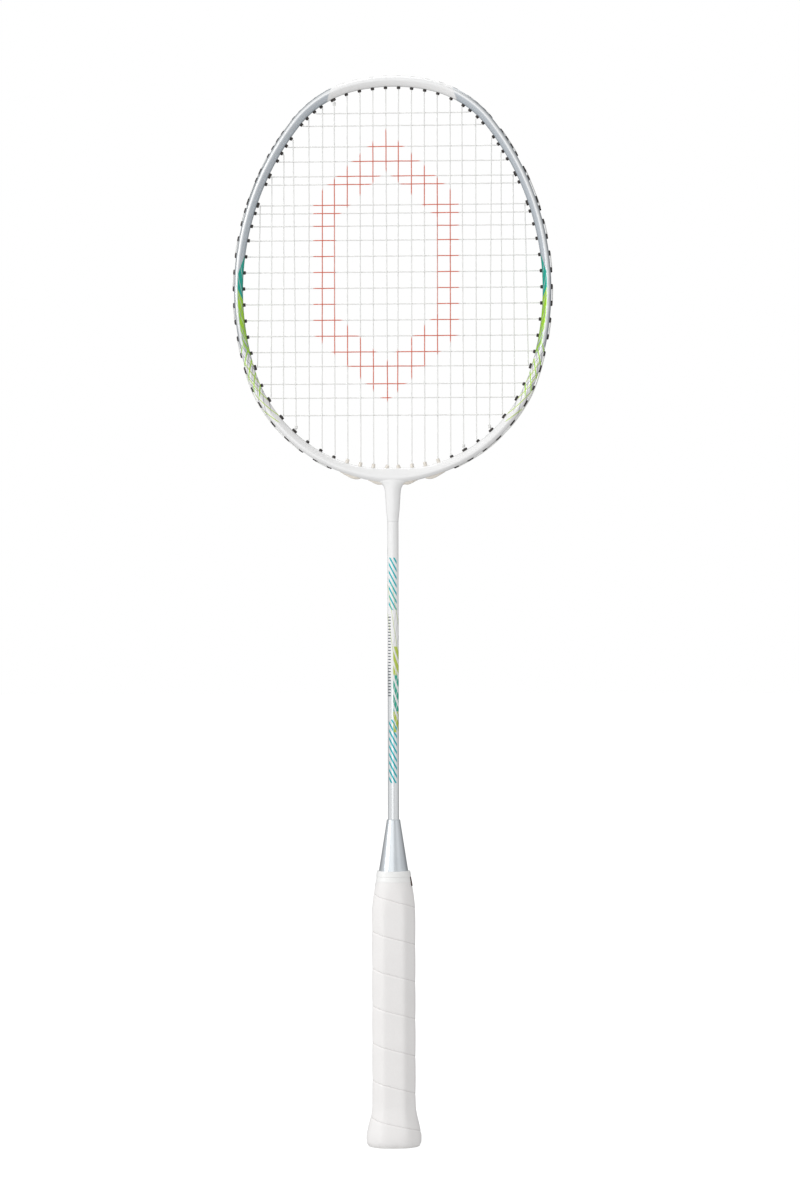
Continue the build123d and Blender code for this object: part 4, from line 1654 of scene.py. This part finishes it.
@dataclass
class HeelStrips:
    """The clear strips at the heel: two sleeves joined by a pad that carries the string.

    Attributes:
        head: the head's line.
        plan: its holes.
        sleeves: the sleeve maker.
        proud: how far the clear sleeves stand out inside the head.
        height: height of a pad at its middle.
        end_height: its height at the ends.
        half_width: half its width.
        section: half of its section: place across as a share of the half width, and height
            as a share of the pad's.
        channel: half the width of the string's channel.
        channel_floor: height of the channel's floor.
        beyond: how far a pad runs past its holes, in degrees.
        inner_start: where an inner pad starts, in degrees.
        skew: how far the pad's highest place is moved towards the heel; 1 leaves it midway.
        tab: height of the tab at an inner pad's end.
        tab_share: the tab's half width, as a share of the pad.
        rows: sections along a pad.
    """

    head: HeadLine
    plan: HolePlan
    sleeves: Grommets
    proud: float = 2.5 * MM
    height: float = 1.9 * MM
    end_height: float = 0.5 * MM
    half_width: float = 2.0 * MM
    section: tuple = ((-1.0, 0.0), (-1.0, 0.72), (-0.93, 0.92), (-0.8, 1.0), (-0.52, 1.0),
                      (-0.42, 0.9), (-0.375, 0.0))
    channel: float = 0.75 * MM
    channel_floor: float = 0.3 * MM
    beyond: float = 1.1
    inner_start: float = 176.4
    skew: float = 1.6
    tab: float = 0.9 * MM
    tab_share: float = 0.09
    rows: int = 40

    def pad(self, start: float, end: float, side: Side, tab: float) -> Patch:
        """One pad: a rounded bar with a channel.

        Its height is a parabola along it, with a small tab of bell shape at its end.

        Args:
            start: angle where it starts.
            end: angle where it ends, nearer the heel.
            side: side of the head.
            tab: height of the tab.

        Returns:
            The closed pad.
        """
        along = np.linspace(0, 1, self.rows)
        angle = (start + along * (end - start))[:, None]
        arch = 1 - (2 * along ** self.skew - 1) ** 2
        crown = self.end_height + (self.height - self.end_height) * arch
        crown += tab * np.exp(-((1 - along) / self.tab_share) ** 2)
        across, share = np.array(self.section).T
        y = np.concatenate([across, -across[::-1]]) * self.half_width
        share = np.concatenate([share, share[::-1]])
        floor = np.where(np.abs(y) < self.channel + HAIR, self.channel_floor, 0.0)
        rise = crown[:, None] * share + np.minimum(floor, crown[:, None])
        height = self.head.floor(angle) + rise
        place = self.head.place(angle + 0 * height, float(side.value), height)
        points = np.stack([place[..., 0], np.broadcast_to(y, height.shape), place[..., 1]], -1)
        return Patch(points, cap=True)

    def build(self, finish: Material) -> None:
        """Make the inner and outer strip on each side.

        Args:
            finish: the plastic.
        """
        low = self.plan.low
        strips = (("inner", low[1], low[2], self.inner_start, self.tab),
                  ("outer", low[3], low[4], low[3].angle + self.beyond, 0.0))
        for side in Side:
            for part, first, second, end, tab in strips:
                patches = [self.pad(second.angle - self.beyond, end, side, tab)]
                patches += [self.sleeves.sleeve(hole, side, 0.0, self.proud, False)
                            for hole in (first, second)]
                name = f"heel_strip_{part}_{side.name.lower()}"
                make_piece(f"clear_{name}", patches, finish, (name,), 45)


# ------ strings and knots

# control points, each with whether the string turns sharply there
Route = list[tuple[np.ndarray, bool]]


@dataclass
class StringBed:
    """The two strings, woven.

    Every run is a list of control points: over a hole, at its inner end, and at each
    crossing, where the string goes in front or behind by turns.

    Attributes:
        head: the head's line.
        plan: its holes.
        radius: the string's radius.
        weave: how far a control point at a crossing stands from the middle plane; the
            curve comes half as far.
        over_ridge: how much higher a tail lies, on the ridges of the grommets it passes.
        inside: how far inside the head's edge a string turns.
        turn_reach: how near the extra points at a sharp turn are.
        crowd: a crossing nearer than this to a string's end is left out.
        tail: how far a string's end reaches into its knot.
        samples: points on each parabola.
        sides: points round the string.
        upright: a direction that no run of string takes.
    """

    head: HeadLine
    plan: HolePlan
    radius: float = 0.34 * MM
    weave: float = 0.70 * MM
    over_ridge: float = 0.5 * MM
    inside: float = 2.1 * MM
    turn_reach: float = 0.9 * MM
    crowd: float = 3.0 * MM
    tail: float = 1.6 * MM
    samples: int = 5
    sides: int = 8
    upright: tuple = (0.02, 1.0, 0.03)

    def corner(self, hole: Hole, side: Side, lane: Face) -> np.ndarray:
        """The point over a hole."""
        lift = self.over_ridge if lane in (Face.OUTER_BACK, Face.OUTER_FRONT) else 0.0
        return self.plan.point(hole, side, lane, float(self.head.seat(hole.angle)) + lift)

    def inner(self, hole: Hole, side: Side, lane: Face) -> np.ndarray:
        """The point where a string leaves a hole inside the head."""
        return self.plan.point(hole, side, lane, -float(self.head.half_width(hole.angle)) - self.inside)

    def dive(self, hole: Hole, side: Side, lane: Face) -> Route:
        """Into a hole: the point over it, then the one inside, both sharp turns."""
        return [(self.corner(hole, side, lane), True), (self.inner(hole, side, lane), True)]

    def passing(self, first: Hole, last: Hole, side: Side, lane: Face) -> Route:
        """The points over the holes that a string in the groove passes.

        Args:
            first: the hole it comes from.
            last: the hole it goes to.
            side: its side of the head.
            lane: the layer it lies in.

        Returns:
            The part of the route between the two holes.
        """
        low, high = sorted((first.angle, last.angle))
        between = [hole for hole in self.plan.holes if low < hole.angle < high]
        if first.angle > last.angle:
            between.reverse()
        return [(self.corner(hole, side, lane), False) for hole in between]

    def crossings(self, j: int, side: Side) -> list[tuple[int, float, float]]:
        """The crosses that a main meets.

        Args:
            j: the main's number, out from the middle.
            side: its side of the head.

        Returns:
            Each cross from the top, as its number, x and z.
        """
        top, low = (self.inner(ends[j], side, Face.MAIN) for ends in (self.plan.top, self.plan.low))
        found = []
        for k, hole in self.plan.cross.items():
            reach, _, z = self.inner(hole, Side.RIGHT, Face.CROSS)
            x = top[0] + (low[0] - top[0]) * (z - top[2]) / (low[2] - top[2])
            clear = low[2] + self.crowd / 2 < z < top[2] - self.crowd / 2
            if clear and abs(x) < reach - self.crowd:
                found.append((k, x, z))
        return found

    def front(self, j: int, side: Side, k: int) -> int:
        """-1 where the main passes in front of the cross, which is towards -Y, else 1."""
        column = j if side is Side.RIGHT else 1 - j
        return -1 if (column + k) % 2 == 0 else 1

    def main_run(self, j: int, side: Side) -> Route:
        """A main's control points at its crossings, from the top down."""
        return [(np.array([x, self.front(j, side, k) * self.weave, z]), False)
                for k, x, z in self.crossings(j, side)]

    def cross_run(self, k: int) -> Route:
        """A cross's control points at its crossings, from left to right."""
        met = [(x, z, -self.front(j, side, k)) for side in Side for j in range(1, self.plan.mains + 1)
               for found, x, z in self.crossings(j, side) if found == k]
        return [(np.array([x, way * self.weave, z]), False) for x, z, way in sorted(met)]

    def mains_half(self, side: Side) -> Route:
        """Half of the main string.

        Args:
            side: which half.

        Returns:
            Its route from the crown out to its tie-off.
        """
        plan, route = self.plan, []
        for j in range(1, plan.mains + 1):
            down = j % 2 == 1
            first, last = (plan.top[j], plan.low[j]) if down else (plan.low[j], plan.top[j])
            run = self.main_run(j, side)
            route += self.dive(first, side, Face.MAIN) + (run if down else run[::-1])
            route += self.dive(last, side, Face.MAIN)[::-1]
            if j < plan.mains:
                route += self.passing(last, (plan.low if down else plan.top)[j + 1], side, Face.MAIN)
        tied, far = plan.low[plan.mains_tie], plan.top[plan.mains_tie]
        route += self.passing(plan.low[plan.mains], tied, side, Face.OUTER_BACK)
        route += self.dive(tied, side, Face.CROSS)
        return route + [(self.tuck(tied, far, side), False)]

    def tuck(self, hole: Hole, far: Hole, side: Side) -> np.ndarray:
        """Where a string ends in its knot, a little way along the main."""
        start, end = self.inner(hole, side, Face.CROSS), self.inner(far, side, Face.CROSS)
        return start + (end - start) / np.linalg.norm(end - start) * self.tail

    def crosses(self) -> Route:
        """The cross string.

        Returns:
            Its route from its starting knot near the heel up to its tie-off at the crown.
        """
        plan = self.plan
        start, end = plan.low[plan.start_tie], plan.top[plan.end_tie]
        lowest = len(plan.cross)
        route = [(self.tuck(start, plan.top[plan.start_tie], Side.RIGHT), False)]
        route += self.dive(start, Side.RIGHT, Face.CROSS)[::-1]
        route += self.passing(start, plan.cross[lowest], Side.RIGHT, Face.OUTER_FRONT)
        for k in range(lowest, 0, -1):
            side, other = (Side.RIGHT, Side.LEFT) if k % 2 == 1 else (Side.LEFT, Side.RIGHT)
            run = self.cross_run(k)
            route += self.dive(plan.cross[k], side, Face.CROSS) + (run if side is Side.LEFT else run[::-1])
            route += self.dive(plan.cross[k], other, Face.CROSS)[::-1]
            following = plan.cross[k - 1] if k > 1 else end
            route += self.passing(plan.cross[k], following, other, Face.CROSS)
        route += self.dive(end, Side.LEFT, Face.CROSS)
        return route + [(self.tuck(end, plan.low[plan.end_tie], Side.LEFT), False)]

    def draw(self, name: str, route: Route, finish: Material, node: str) -> None:
        """Make one string from its route.

        A sharp turn gets one more point each way, at most a third of the run off, so
        that the curve stays near it.

        Args:
            name: the piece's name.
            route: its control points, each with whether it is a sharp turn.
            finish: the string's material.
            node: the frame's node that it stands for.
        """
        points = np.array([point for point, _ in route])
        tight = np.array([sharp for _, sharp in route])
        run = np.diff(points, axis=0)
        length = np.linalg.norm(run, axis=1, keepdims=True)
        step = run / length * np.minimum(self.turn_reach, length / 3)
        none = np.zeros((1, 3))
        trio = np.stack([points - np.vstack([none, step]), points, points + np.vstack([step, none])], 1)
        keep = np.stack([tight, np.ones_like(tight), tight], 1)
        path = spline(trio[keep], self.samples)
        thread = tube(path, self.radius, self.sides, np.array(self.upright))
        make_piece(name, [thread], finish, (node,))

    def build(self, finish: Material) -> None:
        """Make the main string and the cross string.

        Args:
            finish: the string's material.
        """
        right, left = self.mains_half(Side.RIGHT), self.mains_half(Side.LEFT)
        self.draw("woven_mains", right[::-1] + left, finish, "main_string")
        self.draw("woven_crosses", self.crosses(), finish, "cross_string")


@dataclass
class Knots:
    """The four knots: a string end wound round a main beside its sleeve.

    Attributes:
        bed: the strings they are tied in.
        strand: radius of the strand.
        coil: radius of the winding's middle line.
        turns: turns of the winding.
        gap: how far the knot starts from the string's turn.
        length: its length along the main.
        lift: how far the last part of the winding is lifted.
        lift_from: where that part starts, as a share of the winding.
        rows: rings along the strand.
        sides: points round it.
    """

    bed: StringBed
    strand: float = 0.33 * MM
    coil: float = 0.64 * MM
    turns: float = 2.9
    gap: float = 0.35 * MM
    length: float = 1.75 * MM
    lift: float = 0.28 * MM
    lift_from: float = 0.86
    rows: int = 60
    sides: int = 10

    def winding(self, hole: Hole, far: Hole, side: Side) -> Patch:
        """A helix round the main, with its last part lifted over the rest.

        Args:
            hole: the hole the knot lies beside.
            far: the hole at the main's other end.
            side: its side of the head.

        Returns:
            The wound strand.
        """
        start = self.bed.inner(hole, side, Face.MAIN)
        along = self.bed.inner(far, side, Face.MAIN) - start
        along /= np.linalg.norm(along)
        across = np.cross(along, np.array([0, 1, 0]))
        share = np.linspace(0, 1, self.rows)[:, None]
        turn = 2 * math.pi * self.turns * share
        lifted = np.clip((share - self.lift_from) / (1 - self.lift_from), 0, 1)
        reach = self.coil + self.lift * lifted
        rise = self.gap + self.length * share
        path = start + rise * along + reach * (np.cos(turn) * across + np.sin(turn) * np.array([0, 1, 0]))
        return tube(path, self.strand, self.sides, along)

    def build(self, finish: Material) -> None:
        """Tie each knot.

        Args:
            finish: the string's material.
        """
        plan = self.bed.plan
        top, low = plan.top, plan.low
        mains, start, end = plan.mains_tie, plan.start_tie, plan.end_tie
        for node, hole, far, side in (("main_knot_left", low[mains], top[mains], Side.LEFT),
                                      ("main_knot_right", low[mains], top[mains], Side.RIGHT),
                                      ("cross_start_knot", low[start], top[start], Side.RIGHT),
                                      ("cross_end_knot", top[end], low[end], Side.LEFT)):
            make_piece(f"wound_{node}", [self.winding(hole, far, side)], finish, (node,))


# ------ studio


@dataclass
class Studio:
    """The white floor and surround, the lights and the camera.

    Attributes:
        distance: from the camera to the racket's axis.
        view_height: height seen at that distance.
        middle_z: height that the camera looks at.
        aim_x: where it looks, right of the axis.
        swing: how far it stands round to the right, in degrees.
        roll: how far it is turned about its own axis, clockwise, in degrees.
        reach: radius of the surround, and half the floor's width.
        lights: name, place, size and power of each soft light.
        world: strength of the light from all round.
        world_behind: its strength from behind the racket, which darkens the edges of gloss.
        paper: colour of the floor.
        paper_glow: how much light the floor gives off, which keeps it white.
        lit_z: height that the lights point at.
        behind: how far towards +Y the world starts to darken, and where it is darkest.
        ball: rows and columns of points on the surround.
        sensor: width of the camera's sensor, in millimetres.
    """

    distance: float = 2.5
    view_height: float = 0.7567
    middle_z: float = 0.3443
    aim_x: float = 0.0044
    swing: float = 4.0
    roll: float = 0.115
    reach: float = 12.0
    lights: tuple = (("key", (-2.1, -1.3, 1.2), 1.3, 24.0), ("front", (-0.7, -3.0, 1.0), 2.2, 11.5),
                     ("fill", (2.2, -1.6, 0.9), 1.6, 2.4), ("top", (-0.3, 0.5, 2.2), 1.2, 2.0),
                     ("back", (0.0, 1.6, 2.8), 2.0, 20.0))
    world: float = 0.66
    world_behind: float = 0.18
    paper: str = "#969696"
    paper_glow: float = 0.90
    lit_z: float = 0.36
    behind: tuple = (0.1, 0.8)
    ball: tuple = (25, 49)
    sensor: float = 36.0

    def backdrop(self, name: str, points: np.ndarray, finish: Material) -> Object:
        """A grid of points as one smooth sheet of the backdrop.

        Args:
            name: the sheet's name.
            points: rows and columns of points.
            finish: its material.

        Returns:
            The sheet's object.
        """
        rows, columns = points.shape[:2]
        row, column = np.meshgrid(np.arange(rows - 1), np.arange(columns - 1), indexing="ij")
        first = (row * columns + column).ravel()
        faces = np.stack([first, first + 1, first + columns + 1, first + columns], 1)
        mesh = bpy.data.meshes.new(name)
        mesh.from_pydata(points.reshape(-1, 3).tolist(), [], faces.tolist())
        mesh.polygons.foreach_set("use_smooth", np.ones(len(mesh.polygons), bool))
        mesh.materials.append(finish)
        sheet = bpy.data.objects.new(name, mesh)
        bpy.context.scene.collection.objects.link(sheet)
        return sheet

    def floor(self) -> None:
        """The floor, one flat square of white paper."""
        material, tree = start_material("floor_paper")
        shader = add_node(tree, "BsdfPrincipled", {
            "Base Color": linear(self.paper), "Roughness": 0.9, "Emission Color": linear("#FFFFFF"),
            "Emission Strength": self.paper_glow})
        end_material(tree, shader)
        y, x = np.meshgrid([-self.reach, self.reach], [-self.reach, self.reach], indexing="ij")
        sheet = self.backdrop("studio_floor", np.stack([x, y, 0 * x], -1), material)
        sheet.visible_diffuse = False
        sheet.visible_glossy = False

    def surround(self) -> None:
        """A white ball round the studio: a plain backdrop from every side, which lights nothing."""
        material, tree = start_material("surround_white")
        shader = add_node(tree, "Emission", {"Color": linear("#FFFFFF"), "Strength": 1.0})
        end_material(tree, shader)
        rows, columns = self.ball
        rise = np.radians(np.linspace(-90, 90, rows))[:, None]
        turn = np.radians(np.linspace(0, 360, columns))
        points = self.reach * polar(np.cos(rise), turn, np.sin(rise))
        ball = self.backdrop("studio_surround", points, material)
        ball.visible_diffuse = False
        ball.visible_glossy = False
        ball.visible_transmission = False
        ball.visible_shadow = False

    def aim(self, item: Object, place: np.ndarray, target: np.ndarray) -> None:
        """Put a light or camera in the studio.

        Args:
            item: the light or camera.
            place: where it stands.
            target: what it faces.
        """
        direction = np.asarray(target) - np.asarray(place)
        yaw = math.atan2(direction[1], direction[0]) - math.pi / 2
        pitch = math.atan2(direction[2], math.hypot(direction[0], direction[1])) + math.pi / 2
        item.location = place
        item.rotation_euler = (pitch, 0.0, yaw)
        bpy.context.scene.collection.objects.link(item)

    def build(self) -> None:
        """Set up the world, the backdrop, the lights and the camera."""
        scene = bpy.context.scene
        world = bpy.data.worlds.new("surround")
        world.use_nodes = True
        world.node_tree.nodes.clear()
        direction = add_node(world.node_tree, "TexCoord")
        parts = add_node(world.node_tree, "SeparateXYZ", {0: direction}).node
        strength = add_node(world.node_tree, "MapRange", {
            0: parts.outputs["Y"], 1: self.behind[0], 2: self.behind[1],
            3: self.world, 4: self.world_behind})
        glow = add_node(world.node_tree, "Background", {"Color": linear("#FFFFFF"), "Strength": strength})
        add_node(world.node_tree, "OutputWorld", {"Surface": glow})
        scene.world = world
        scene.view_settings.view_transform = "Standard"
        self.floor()
        self.surround()
        for name, place, size, power in self.lights:
            light = bpy.data.lights.new(name, "AREA")
            light.size = size
            light.energy = power
            lamp = bpy.data.objects.new(name, light)
            lamp.visible_camera = False
            self.aim(lamp, place, (0, 0, self.lit_z))
        camera = bpy.data.cameras.new("camera")
        camera.sensor_width = self.sensor
        camera.lens = camera.sensor_width * self.distance / self.view_height
        lean = math.radians(self.swing)
        place = (self.aim_x + self.distance * math.sin(lean), -self.distance * math.cos(lean),
                 self.middle_z)
        viewer = bpy.data.objects.new("camera", camera)
        self.aim(viewer, place, (self.aim_x, 0, self.middle_z))
        viewer.rotation_euler.y = math.radians(self.roll)
        scene.camera = viewer


def dress_core() -> None:
    """Give the wooden handle core, which keeps the frame's shape, its wood."""
    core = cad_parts["handle_core"]
    core.data.materials.clear()
    core.data.materials.append(AshWood().make())
    log.info("handle_core: kept, in ash")


def main() -> None:
    """Build the studio and the racket."""
    Studio().build()
    head = HeadLine()
    plan = HolePlan(head)
    lacquer, thread = HeadLacquer().make(), NylonString().make()
    HeadFrame(head).build(lacquer)
    Throat().build(lacquer)
    Shaft().build(ShaftLacquer().make())
    ConeCap().build(SILVER_PLASTIC.make())
    handle = HandleShape()
    Grip(handle).build(PolyurethaneGrip().make())
    FinishingTape(handle).build(VINYL.make(), DARK_TAPE_END.make())
    ButtCap(handle).build(CAP_PLASTIC.make())
    sleeves = Grommets(head, plan)
    sleeves.build(BLACK_NYLON.make())
    HeelStrips(head, plan, sleeves).build(CLEAR_NYLON.make())
    bed = StringBed(head, plan)
    bed.build(thread)
    Knots(bed).build(thread)
    dress_core()


if __name__ == "__main__":
    main()
